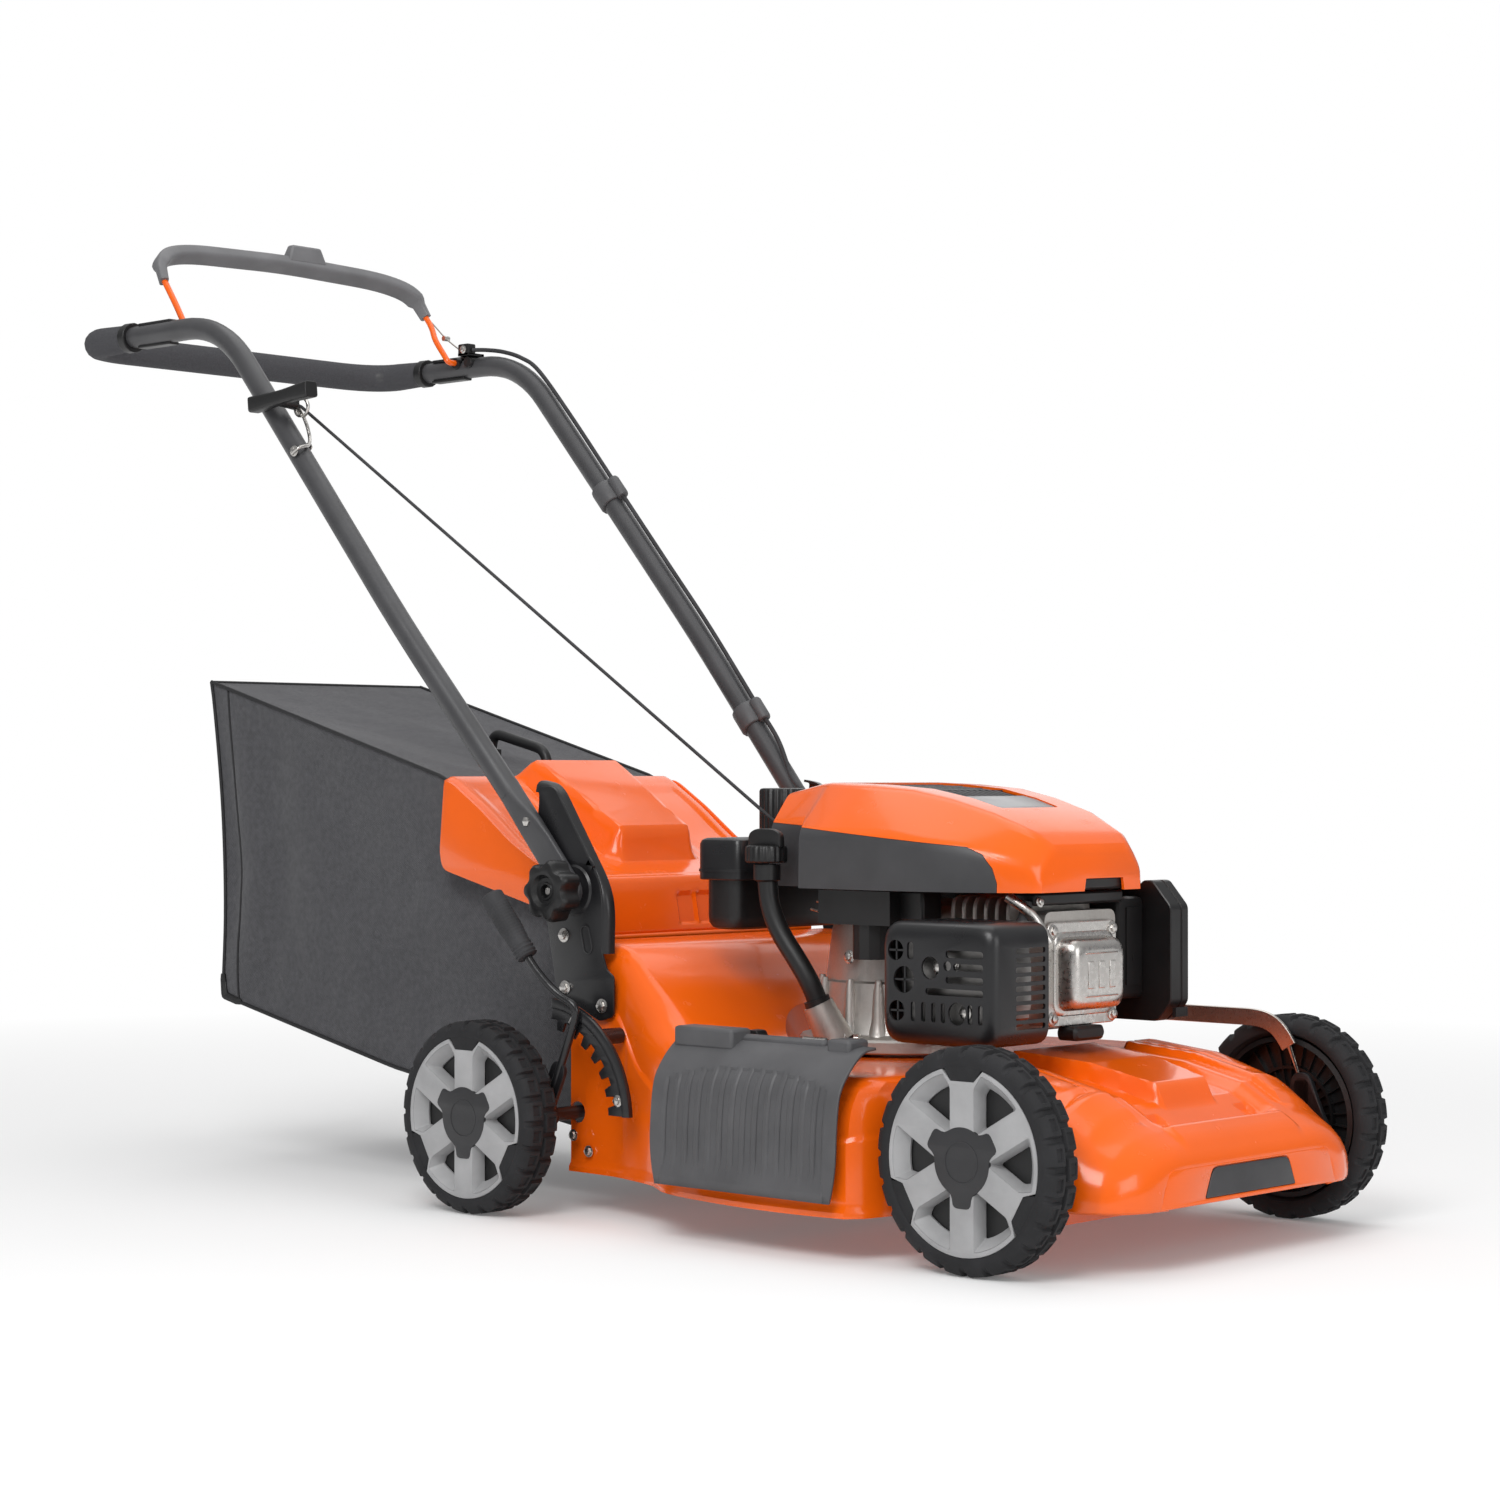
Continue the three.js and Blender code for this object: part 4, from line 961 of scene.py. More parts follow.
# Section of the rear flap from its hinge to its rear edge, as (y, z).
FLAP = [(268, 276), (272, 300), (279, 330), (288, 336), (300, 340), (341, 353), (379, 374), (425, 407),
        (467, 433), (481, 440)]


def flap_skin():
    """Sheet that rises to the rear, with a raised hump, a shallow panel and a slot low down."""
    path = smooth([(0, y, z) for y, z in FLAP], 7)
    rows = []
    xs = [-172.5 + 345 * k / 92 for k in range(93)]
    for i, p in enumerate(path):
        ahead = heading(path, i)
        out = Vector((0, -ahead.z, ahead.y))
        row = []
        for x in xs:
            side = abs(x)
            half = 50 + (p.y - 352) * 0.085
            rise = step(p.y, 326, 352) * (1 - step(p.y, 470, 482))
            hump = (33 - 7 * step(p.y, 352, 470)) * rise * (1 - step(side, half, half + 19))
            panel = step(side, 84, 87) * (1 - step(side, 150, 153)) * step(p.y, 300,
                                                                           304) * (1 - step(p.y, 452, 456))
            dip = step(p.z, 282, 285) * (1 - step(p.z, 314, 317)) * (1 - step(side, 26, 28))
            edge = 5 * step(side, 160, 172.5) ** 2
            spot = p + out * (hump - 1.4 * panel - 3 * dip * step(side, 0, 2) - edge)
            row.append((x, spot.y, spot.z))
        rows.append(row)
    return grid(rows)


piece("flap_skin", flap_skin(), ORANGE, "flap", "rear_flap", wall=2.4, sharp=30)

# Outline of the flap's side wings, as (y, z).
WING = [(268, 276), (279, 330), (300, 339), (341, 352), (379, 373), (425, 406), (467, 432), (481, 437),
        (488, 360), (484, 340), (338, 304), (280, 279)]
wing = rounded(WING, [3, 3, 5, 5, 5, 5, 5, 7, 6, 10, 14, 4], 4)
for side, name in ((-1, "right"), (1, "left")):
    low, high = (-175.4, -171) if side < 0 else (171, 175.4)
    piece("flap_wing_" + name, plate([wing], "X", low, high, 1.6), ORANGE, "flap")
piece("flap_hinge_lip", swept([(-172, 266, 273), (172, 266, 273)], 3.2), ORANGE, "flap")
piece("deck_rear_seam", block(-178, 178, 254.5, 262, 262, 269), BLACK, "chassis", edge=1.5)


# ---------- engine ----------
# y, half width at the shoulder, half width of the crown, top and depth of the shoulder.
HOOD = [
    (-250, 78, 58, 368, 22), (-247, 83, 62, 376, 24), (-236, 93, 68, 386, 27), (-190, 120, 80, 406, 34),
    (-145, 130, 85, 419, 40), (-100, 134, 88, 428, 44), (-50, 136, 88, 432, 46), (4, 137, 86, 434, 48),
    (14, 124, 82, 434, 44), (30, 103, 74, 433, 38), (76, 99, 70, 424, 34), (84, 92, 66, 412, 30),
    (88, 84, 60, 404, 28),
]


def hood_shell(wall):
    """The hood's outside, or with a wall the space inside it, open at the bottom."""
    rows = []
    for i, (y, half, crown, top, drop) in enumerate(HOOD):
        half, crown, top = half - wall, crown - wall, top - wall
        y += wall if i == 0 else -wall if i == len(HOOD) - 1 else 0
        bottom = 331 - (30 if wall else 0)
        corners = [(half, bottom), (half - 1, top - drop), (crown, top), (-crown, top),
                   (1 - half, top - drop), (-half, bottom)]
        rows.append([(x, y, z) for x, z in rounded(corners, [0.1, 9, 8, 8, 9, 0.1], 4)])
    return grid(rows, wrap=True, ends=True)


def band_zone(margin):
    """The zone of the grey band along the hood's sides, set in by a margin."""
    edge = [(130, 300), (-217 + margin, 300), (-217 + margin, 340), (-213 + margin, 354 - margin),
            (-204 + margin, 367 - margin), (-190, 374 - margin), (-100, 381.5 - margin), (0, 390 - margin),
            (130, 397 - margin)]
    return prism(edge, "X", -220, 220)


def grille_zone():
    outline = rounded([(-46, -176), (46, -176), (62, -12), (-62, -12)], 5, 3)
    return prism(outline, "Z", 395, 460)


def hood():
    shell = carved(hood_shell(0), hood_shell(3))
    notch = prism([(-14, 320), (54, 320), (50, 343), (-9, 343)], "Y", -262, -236)
    return carved(shell, band_zone(0), notch, grille_zone())


piece("hood_panel", hood(), ORANGE, "chassis", "engine_hood", sharp=26)
band = carved(carved(hood_shell(0), hood_shell(3)), band_zone(0.4), keep=True)
piece("hood_side_band", band, BAND_GREY, "chassis", "engine_side_band", sharp=26)


def hood_top(y):
    return between(HOOD, y)[2]


def grille_half(y, front):
    """Half the grille's width at y, from its half width at the front edge."""
    return front + 17 * (y + 176) / 164


def grille():
    """Dark tray in the hood's top with bars along and across it."""
    stops = range(-178, -8, 12)
    parts = [grid([[(x, y, hood_top(y) - depth) for x in (-64, 64)] for y in stops]) for depth in (8, 10)]
    bar = rounded([(-2.2, -3.5), (2.2, -3.5), (1.6, 2), (-1.6, 2)], 0.6, 1)
    for x in range(-44, 45, 11):
        points = [(x * (0.78 + 0.22 * (y + 176) / 164), y, hood_top(y) - 3.5) for y in range(-128, -10, 13)]
        parts.append(swept(points, bar, up=(0, 0, 1)))
    for y in range(-126, -13, 28):
        wide = grille_half(y, 44)
        parts.append(block(-wide, wide, y - 2.4, y + 2.4, hood_top(y) - 8, hood_top(y) - 1.6))
    return merge(*parts)


def badge():
    """Plain panel in front of the grille."""
    rows = []
    for y in range(-174, -128, 9):
        wide = grille_half(y, 45)
        rows.append([(x, y, hood_top(y) - 1.2) for x in (-wide, 0, wide)])
    return grid(rows)


piece("hood_grille", grille(), BAND_GREY, "chassis", sharp=30)
piece("hood_plain_badge", badge(), SILVER, "chassis", wall=2)

GUARD_Y, GUARD_Z = (-278, -142), (192, 306)
# Centre (y, z) and radius of the holes with crossed bars, and of the bolt holes.
BARRED = [((-162, 279), 9.5), ((-172, 252), 12.5), ((-163.5, 223), 9.5)]
BOLT_HOLES = [((-203.6, 264), 10.5), ((-224, 266.5), 4.5), ((-235.5, 223), 10.5)]


def guard_box(inset, end):
    """A box with a rounded outer face, set in by inset and run back to end."""
    rows = []
    for x, m in ((-186, 12), (-185, 7.5), (-182.5, 3.8), (-179, 1.4), (-174, 0), (end, 0)):
        m += inset
        corners = rect(GUARD_Y[0] + m, GUARD_Y[1] - m, GUARD_Z[0] + m, GUARD_Z[1] - m)
        rows.append([(x + inset, y, z) for y, z in rounded(corners, 20, 6)])
    return grid(rows, wrap=True, ends=True)


def muffler_guard():
    """Guard with barred holes, bolt holes and slots in its side, and slots in its front."""
    def slot(y0, y1, z0, z1):
        radius = min(y1 - y0, z1 - z0) / 2
        return prism(rounded(rect(y0, y1, z0, z1), radius, 3), "X", -200, -176)

    holes = [prism(disc(spot, r, 24), "X", -200, -176) for spot, r in BARRED + BOLT_HOLES]
    holes += [slot(-183.5, -176, 271, 287)]
    holes += [slot(-266, -222, 274, 281), slot(-266, -231, 262.5, 269), slot(-266, -222, 250.5, 257),
              slot(-266, -198, 239, 245.5)]
    holes += [slot(y - 2.6, y + 2.6, 214, 232) for y in (-183, -195.4, -207.5, -219, -250.5, -262.7)]
    for k in range(9):
        z = 211 + k * 8.7
        holes.append(prism(rounded(rect(-153, -109, z - 2.6, z + 2.6), 2.5, 3), "Y", -290, -268))
    return carved(guard_box(0, -104), guard_box(2.6, -90), merge(*holes))


piece("muffler_guard_shell", muffler_guard(), BLACK_PAINT, "chassis", "muffler_guard", sharp=30)
bars = []
for (y, z), hole in BARRED:
    reach = hole - 0.5
    for across, up in ((reach, 0.9), (0.9, reach)):
        bars.append(block(-184.5, -183, y - across, y + across, z - up, z + up))
piece("muffler_guard_bars", merge(*bars), BLACK_PAINT, "chassis")
guard_bolts = [bolt((-173, *spot), (-1, 0, 0), size) for (spot, _), size in zip(BOLT_HOLES, (8, 4.5, 8))]
piece("muffler_bolts", merge(*guard_bolts), ZINC, "chassis")


def box_rings(outline, axis, stops, radius):
    """A body through rings of one outline, each set in by its own margin."""
    xs, ys = [p[0] for p in outline], [p[1] for p in outline]
    middle = ((min(xs) + max(xs)) / 2, (min(ys) + max(ys)) / 2)
    size = ((max(xs) - min(xs)) / 2, (max(ys) - min(ys)) / 2)
    rows = []
    for along, margin in stops:
        ring = [(middle[0] + (x - middle[0]) * (1 - margin / size[0]),
                 middle[1] + (y - middle[1]) * (1 - margin / size[1])) for x, y in outline]
        rows.append([PLACES[axis](a, b, along) for a, b in rounded(ring, radius, 4)])
    return grid(rows, wrap=True, ends=True)


def valve_cover():
    """Flanged cover with a pillow dome, and plain ribs on the dome."""
    plate_edge = rect(-56, 52, 203, 302)
    dome_edge = rect(-43, 42, 217, 288)
    base = box_rings(plate_edge, "Y", [(-236.4, 1), (-237.2, 0), (-239.6, 0), (-240.4, 1)], 9)
    rim = box_rings(dome_edge, "Y", [(-239, -4.5), (-241, -4.5), (-242, -3.5), (-242.4, -1)], 13)
    dome = box_rings(dome_edge, "Y", [(-240, 0), (-252, 1.5), (-257, 3), (-260.4, 6), (-261.8, 10),
                                      (-262, 13)], 13)
    ribs = [block(-26, 25, -262.9, -261, z, z + 1.6) for z in (231, 272)]
    ribs += [block(x, x + 9, -262.9, -261, 239, 265) for x in (-22, -5, 12)]
    return merge(base, rim, dome), merge(*ribs)


cover, ribs = valve_cover()
piece("valve_cover_dome", cover, ZINC, "chassis", "valve_cover", sharp=30)
piece("valve_cover_ribs", ribs, ZINC, "chassis", edge=0.8)
cover_bolts = [bolt((x, -240.4, z), (0, -1, 0), 7.5) for x, z in rect(-49, 45, 211, 294)]
piece("valve_cover_bolts", merge(*cover_bolts), ZINC, "chassis")
piece("valve_breather", box_rings(rect(-30, 18, 189, 203), "Y",
                                  [(-230, 2), (-232, 0), (-250, 0), (-253, 3)], 6), BLACK, "chassis")

# Outline of the air filter's cover, as (y, z).
FILTER = [(-262, 219), (-245, 200), (-112, 200), (-112, 330), (-222, 330), (-228, 338), (-240, 338),
          (-262, 313)]


def air_filter():
    outer = box_rings(FILTER, "X", [(112.3, 1), (113, 0), (128, 0), (128.6, 1.2), (131, 1.2), (131.6, 0),
                                    (141, 0), (142, 1), (142.4, 5), (147.5, 6), (149.4, 8), (150, 12)], 4)
    latch_tab = block(116, 136, -265, -261, 205, 214)
    return merge(outer, latch_tab)


piece("air_filter_cap", air_filter(), BLACK, "chassis", "air_filter_cover", sharp=28)
body = box_rings(rect(-228, -124, 222, 322), "X", [(72, 3), (74, 0), (111.7, 0)], 7)
screw = lathe(rect(0.01, 5, -229.8, -228), (98, 0, 262), "Y", 20)
piece("air_filter_body", merge(body, screw, block(84, 108, -229.5, -227, 236, 312)), BLACK, "chassis",
      "air_filter_base", edge=1, sharp=28)

TANK, LIP = rect(-122, 90, 98, 146), rect(-128, 98, 92, 151)
tank = box_rings(TANK, "Z", [(286, 7), (288, 3), (293, 0.5), (300, 0), (337, 0)], 14)
tray = box_rings(LIP, "Z", [(336, 1), (337, 0), (372, 0), (376, 1.5), (378, 5)], 11)
seam = box_rings(LIP, "Z", [(344, -0.8), (347, -0.8)], 11)
piece("tank_body", tank, BLACK, "chassis", "fuel_tank", sharp=30)
piece("tank_lip", merge(tray, seam), BLACK_PAINT, "chassis", sharp=30)


def ribbed(radius, low, high, centre, count=24, depth=1.2):
    """A round cap with upright ribs."""
    rows = []
    for z, inset in ((low, 1.5), (low + 1.5, 0), (high - 3, 0), (high - 0.8, 1.2), (high, 4)):
        ring = []
        for k in range(count * 6):
            angle = 2 * pi * k / (count * 6)
            r = radius - inset - depth * (0.5 + 0.5 * cos(angle * count))
            ring.append((centre[0] + r * cos(angle), centre[1] + r * sin(angle), z))
        rows.append(ring)
    return grid(rows, wrap=True, ends=True)


piece("petrol_cap_knurled", ribbed(24, 378.4, 428, (-30, 122)), BLACK, "petrol_cap", "fuel_cap", sharp=30)


def oil_cap():
    collar = ribbed(21, 355, 372, (-131, 52), 20, 1)
    profile = rounded([(30, 370), (74, 370), (73, 384), (64, 388.5), (40, 388.5), (31, 384)],
                      [2, 2, 5, 6, 6, 5], 4)
    grip = plate([profile], "X", -135, -127, 2)
    return merge(collar, grip)


piece("oil_cap_tee", oil_cap(), BLACK, "oil_cap", "oil_filler_cap", sharp=30)
route = bent([(-131, 52, 353), (-131, 46, 300), (-121, 6, 244), (-113.5, -2, 217)], 34, 8)
neck = lathe([(10, 336), (13.5, 338), (13.5, 353), (10, 353)], (-131, 51, 0), "Z", 32)
foot = swept([(-115.3, -0.4, 222), (-113.2, -2.3, 214.5)], 13)
piece("oil_tube", merge(swept(route, 10), neck, foot), BLACK, "chassis", "oil_filler_tube", sharp=30)


def crankcase():
    """Bell with ribs, cooling fins, the cylinder and its head, and the oil neck, as one casting."""
    profile = [(13, 168.6), (98, 168.6), (100, 170), (100, 180), (98, 182.5), (92, 184), (86, 186),
               (83, 191), (80, 210), (77, 232), (76.5, 236), (73.5, 238), (68, 286), (64, 300), (13, 300)]
    parts = [lathe(profile, (0, ENGINE_Y, 0), "Z", 72)]
    cone = [(0.01, 183), (11.5, 183), (10, 187), (7, 200), (5.5, 226), (3, 240), (0.01, 240)]
    for angle in (182, 205, 232, 262, 300, 330, 0, 30, 60, 90, 120, 150):
        x, y = turned(radians(angle), 79.2, 0)
        parts.append(lathe(cone, (x, y + ENGINE_Y, 0), "Z", 20))
    for i in range(6):
        y = -200 + i * 13.5
        parts.append(box_rings(rect(-64, 64, 196, 326), "Y", [(y, 1), (y + 1, 0), (y + 3.4, 0),
                                                                                (y + 4.4, 1)], 14))
    parts.append(box_rings(rect(-50, 50, 203, 318), "Y", [(-205, 0), (-20, 0)], 16))
    parts.append(box_rings(rect(-56, 56, 203, 312), "Y", [(-236, 0), (-214, 0), (-208, 3)], 10))
    parts.append(swept([(-102, -14, 180), (-114, -1.6, 217)], lambda t: 19 - 4 * min(1, t * 2)))
    parts.append(box_rings([(-70, 180), (-30, 180), (-40, 290), (-62, 290)], "Y",
                           [(-118, 3), (-112, 0), (-60, 0)], 8))
    return merge(*parts)


piece("crankcase", crankcase(), CAST, "chassis", "engine_block", sharp=28)
case_bolts = []
for angle in (193, 248, 282, 345, 45, 105, 165):
    x, y = turned(radians(angle), 93, 0)
    case_bolts.append(bolt((x, y + ENGINE_Y, 183.5), (0, 0, 1), 8))
case_bolts += [bolt((-79, -12, 262), (-1, 0, 0.1), 8), bolt((-66, -238, 322), (0, -1, 0.2), 6),
               bolt((-107, -26, 186), (-1, 0, 0.3), 6)]
piece("crankcase_bolts", merge(*case_bolts), ZINC, "chassis")
piece("exhaust_pipe", swept(bent([(-84, -214, 327), (-76, -236, 312), (-62, -246, 284)], 12), 5.2), ZINC,
      "chassis")
piece("plug_boot", swept(bent([(-78, -222, 270), (-76, -226, 298), (-70, -226, 322)], 10),
                         lambda t: 8.5 - 2.5 * step(t, 0.6, 0.9)), GRIP, "chassis", "spark_plug_boot")
ducts = [block(-70, 70, -236, -206, 318, 330.6), block(-96, -66, -120, 10, 300, 330.6),
         block(62, 108, -120, 60, 300, 330.6), block(-60, 62, -246, -238, 332, 345)]
piece("intake_ducts", merge(*ducts), BLACK, "chassis", edge=3)
piece("link_springs", merge(*[swept([(-100, y, 309 + k), (-104, y - 20, 306 + k), (-99, y - 64, 312 + k)],
                                    1.3)
                              for k, y in ((0, 20), (8, 12))]), ZINC, "chassis")


# ---------- height adjustment ----------
TOOTH_TIP, TOOTH_ROOT, QUADRANT_EDGE = 87, 97, 118


def round_pivot(angle, radius):
    """A point (y, z) round the rear pivot."""
    y, z = turned(radians(angle), radius, 0)
    return REAR_PIVOT[0] + y, REAR_PIVOT[1] + z


def quadrant():
    """Toothed plate round the rear pivot with a raised rim and the boss that holds it."""
    outline = [round_pivot(d, QUADRANT_EDGE) for d in (*range(94, 178, 4), 176, 177)]
    for d in range(176, 100, -12):
        outline += arc(REAR_PIVOT, TOOTH_TIP, d, d - 5, 2) + arc(REAR_PIVOT, TOOTH_ROOT, d - 6, d - 11, 2)
    rim = arc(REAR_PIVOT, QUADRANT_EDGE + 0.5, 94, 177, 24) + arc(REAR_PIVOT, QUADRANT_EDGE - 10, 177, 94,
                                                                  24)
    boss = lathe(rect(0.01, 8, -243, -212), (0, *round_pivot(130, 107)), "X", 24)
    return merge(plate([outline], "X", -245.5, -242, 0.8), plate([rim], "X", -248, -242, 1.2), boss)


piece("height_quadrant_arc", quadrant(), BLACK_PAINT, "chassis", "height_quadrant", sharp=30)
quad_spots = [(-246, *round_pivot(112, 103)), (-246, *round_pivot(168, 103)), (-214, 240, 78),
              (-206, 226, 62)]
piece("quadrant_bolts", merge(*[bolt(spot, (-1, 0, 0), 7) for spot in quad_spots]), ZINC, "chassis")
LEVER = [(-250, 236, 120), (-250, 219, 156), (-250, 195, 211), (-256, 222, 224), (-266, 241, 247),
         (-276.5, 277, 302)]
lever_plate = plate([capsule(REAR_PIVOT, (224, 146), 10), disc(REAR_PIVOT, 8.6, 24)], "X", -252.5, -247.5,
                    1)
piece("lever_rod", merge(swept(bent(LEVER, 14), 4.2), lever_plate), BLACK_PAINT, "rear_crank_axle",
      "height_lever")


GRIP_RINGS = 90


def lever_grip():
    """Tapered sleeve with a chequered surface and three rings at its lower end."""
    start, end = Vector((-268.4, 249.5, 259.8)), Vector((-281.3, 291.5, 322.5))
    axis = (end - start).normalized()
    side = axis.orthogonal().normalized()
    other = axis.cross(side)
    rows = []
    for i in range(GRIP_RINGS + 1):
        t = i / GRIP_RINGS
        ends = sqrt(max(0.02, 1 - ((t - 0.94) / 0.06) ** 2)) if t > 0.94 else 1
        rings = 1.3 * (0.5 + 0.5 * cos(2 * pi * t / 0.06)) * (1 - step(t, 0.17, 0.19)) * step(t, 0.0, 0.01)
        base = (10.2 + 1.9 * step(t, 0.12, 0.5) + rings) * ends
        row = []
        for k in range(72):
            angle = 2 * pi * k / 72
            check = sin(12 * angle + t * 75) * sin(12 * angle - t * 75)
            check *= step(t, 0.22, 0.25) * (1 - step(t, 0.8, 0.83))
            r = base + 0.35 * check * ends
            row.append(tuple(start + (end - start) * t + side * r * cos(angle) + other * r * sin(angle)))
        rows.append(row)
    return grid(rows, wrap=True, ends=True)


piece("lever_grip_chequered", lever_grip(), GRIP, "rear_crank_axle", "height_lever_grip", sharp=50)


def link():
    """Flat bar with an eye at each end and a web at its front bend."""
    front, rear = (-345, 135), (272, 151)
    section = [(222, -8), (222.5, -8.5), (225.5, -8.5), (226, -8), (226, 8), (225.5, 8.5), (222.5, 8.5),
               (222, 8)]
    path = bent([(*front, 0), (-318, 186, 0), (-296, 200, 0), (218, 200, 0), (240, 190, 0), (*rear, 0)],
                22, 6)
    rows = []
    for i, p in enumerate(path):
        ahead = heading(path, i)
        out = Vector((-ahead.y, ahead.x, 0))
        rows.append([(x, p.x + out.x * w, p.y + out.y * w) for x, w in section])
    ends = [plate([disc(c, 8.5, 28), disc(c, 4.7, 20)], "X", 222, 226, 0.5) for c in (front, rear)]
    web = rounded([(-337, 143), (-352, 130), (-345, 120), (-325, 175), (-318, 186)], 2, 2)
    return merge(grid(rows[2:-2], wrap=True, ends=True), *ends, plate([web], "X", 222.3, 225.7, 0.3))


piece("link_bar", link(), STEEL_BAR, "link", "height_link", sharp=30)
lobe = rounded([(-384, 74), (-362, 74), (-330, 128), (-334, 148), (-352, 150)], 8, 4)
piece("link_bracket", plate([lobe], "X", 214.5, 220.5, 1.2), BLACK_PAINT, "front_crank_axle")
washer = lathe(rect(0.01, 8, 226, 227.5), (0, -345, 135), "X", 24)
piece("link_pins", merge(bolt((226.4, -345, 135), (1, 0, 0), 7), washer), BLACK, "front_crank_axle")


# ---------- handle mounts, drawn for the right-hand side ----------
HANDLE_PIVOT = (243, 325)


def bracket():
    """Plate with a rolled front edge, a diamond window, an embossed oval and a step round the knob."""
    outline = [(296, 430), (272, 430), (206, 335), (202, 312), (203, 264), (196, 246), (186, 240),
               (186, 200), (206, 194), (268, 222), (282, 290), (298, 384), (294, 418)]
    edge = rounded(outline, [8, 8, 20, 20, 6, 4, 4, 5, 5, 8, 20, 20, 10], 4)
    diamond = [(214, 350), (221, 341), (228, 350), (221, 359)]
    holes = [rounded(diamond, 1.5, 2), disc(HANDLE_PIVOT, 5, 20)]
    panel = plate([edge, *holes], "X", -211, -208, 0.9)
    section = [(-210.8, -12), (-210.8, -8), (-210.2, -4.5), (-208.2, -1.8), (-205, -0.3), (-200, 0),
               (-198, 0), (-198, -2.5), (-205, -2.9), (-207.4, -5), (-208, -12)]
    path = bent([(297, 436, 0), (272, 432, 0), (204, 334, 0), (196, 310, 0), (197, 268, 0), (197, 262, 0)],
                16, 6)
    rows = []
    for i, p in enumerate(path):
        ahead = heading(path, i)
        out = Vector((ahead.y, -ahead.x, 0))
        rows.append([(x, p.x + out.x * w, p.y + out.y * w) for x, w in section])
    flange = grid(rows, wrap=True, ends=True)
    ovals = [capsule((222, 268), (226, 284), radius) for radius in (7, 5)]
    oval = plate(ovals, "X", -211.8, -210.5, 0.4)
    step_disc = lathe([(0.01, -213), (24, -213), (26, -211), (0.01, -211)], (0, *HANDLE_PIVOT), "X", 40)
    return merge(panel, flange, oval, step_disc)


def knob():
    """Seven-lobed knob with a dished face, and the stud in its recess."""
    stops = [(-220.5, 13, 0), (-228.5, 13.5, 0), (-228.8, 26, 2.2), (-230, 28, 3), (-246, 29, 3),
             (-250.5, 28, 3), (-253.4, 26, 2.6), (-254.8, 22, 1.5), (-255, 19, 0), (-254.4, 16.6, 0),
             (-251, 14.5, 0), (-249.6, 13.5, 0), (-249.4, 9.5, 0), (-250.6, 8.6, 0), (-250.6, 7, 0),
             (-245, 6.4, 0), (-244, 0.3, 0)]
    rows = []
    for x, base, lobe in stops:
        ring = []
        for k in range(98):
            angle = 2 * pi * k / 98
            wave = cos(7 * angle)
            r = base + lobe * (wave if wave < 0 else wave ** 0.7)
            ring.append((x, HANDLE_PIVOT[0] + r * cos(angle), HANDLE_PIVOT[1] + r * sin(angle)))
        rows.append(ring)
    stud = lathe([(0.01, -247.5), (3.4, -247.5), (3.8, -247), (3.8, -243), (0.01, -243)],
                 (0, *HANDLE_PIVOT), "X", 20)
    return grid(rows, wrap=True, ends=True), stud


lobes, stud = knob()
bracket_bolts = merge(*[bolt((-211, y, z), (-1, 0, 0), 8.5) for y,
                        z in ((257, 279), (255, 226), (202, 210))])
for name, put in (("right", lambda shape: shape), ("left", mirrored)):
    piece("handle_bracket_panel_" + name, put(bracket()), BLACK_PAINT, "chassis", "handle_bracket_" + name,
          sharp=30)
    piece("bracket_bolts_" + name, put(bracket_bolts), ZINC, "chassis")
    piece("knob_lobed_" + name, put(lobes), BLACK, "knob_" + name, "clamp_knob_" + name, sharp=35)
    piece("knob_stud_" + name, put(stud), ZINC, "knob_" + name)


# ---------- handle ----------
TUBE_RADIUS, FOAM_RADIUS, CABLE_RADIUS, ROPE_RADIUS = 12.5, 17, 2.6, 1.8
# Corners of the left side tube, from its foot to the crossbar.
HANDLE = [(217, 327, 420), (230, 486, 600), (229, 795, 950), (226, 1064, 950)]


def handle():
    """Bent tube with a flattened foot at each end."""
    near = [(-x, y, z) for x, y, z in HANDLE]
    tube = swept(bent([*near, *HANDLE[::-1]], 66, 10), TUBE_RADIUS)
    low, high = Vector((-216, 243, 325)), Vector((-217, 327, 420))
    ahead = (high - low).normalized()
    length = (high - low).length
    stops = [-15.4, -14.6, -12, -8, 0, 30, 60, 84, 100, 112, 124, 140]

    def section(share):
        along = stops[round(share * (len(stops) - 1))]
        flat = 1 - step(along, 62, length + 8)
        wide, thick = TUBE_RADIUS + 3 * flat, TUBE_RADIUS - 8.4 * flat
        if along < 0:
            wide *= sqrt(max(0.01, 1 - (along / 15.5) ** 2))
        power = 1 - 0.55 * flat
        ring = []
        for k in range(28):
            across, up = cos(2 * pi * k / 28), sin(2 * pi * k / 28)
            ring.append((copysign(wide * abs(across) ** power, across),
                         copysign(thick * abs(up) ** power, up)))
        return ring

    foot = swept([low + ahead * s for s in stops], section, up=(1, 0, 0))
    return merge(tube, foot, mirrored(foot))


piece("handle_bar", handle(), TUBE, "handle", "handle_tube", sharp=40)
tube_bolts = [bolt((side * 220.4, 300, 394), (side, 0, 0), 8.5) for side in (-1, 1)]
piece("handle_bolts", merge(*tube_bolts), ZINC, "handle")
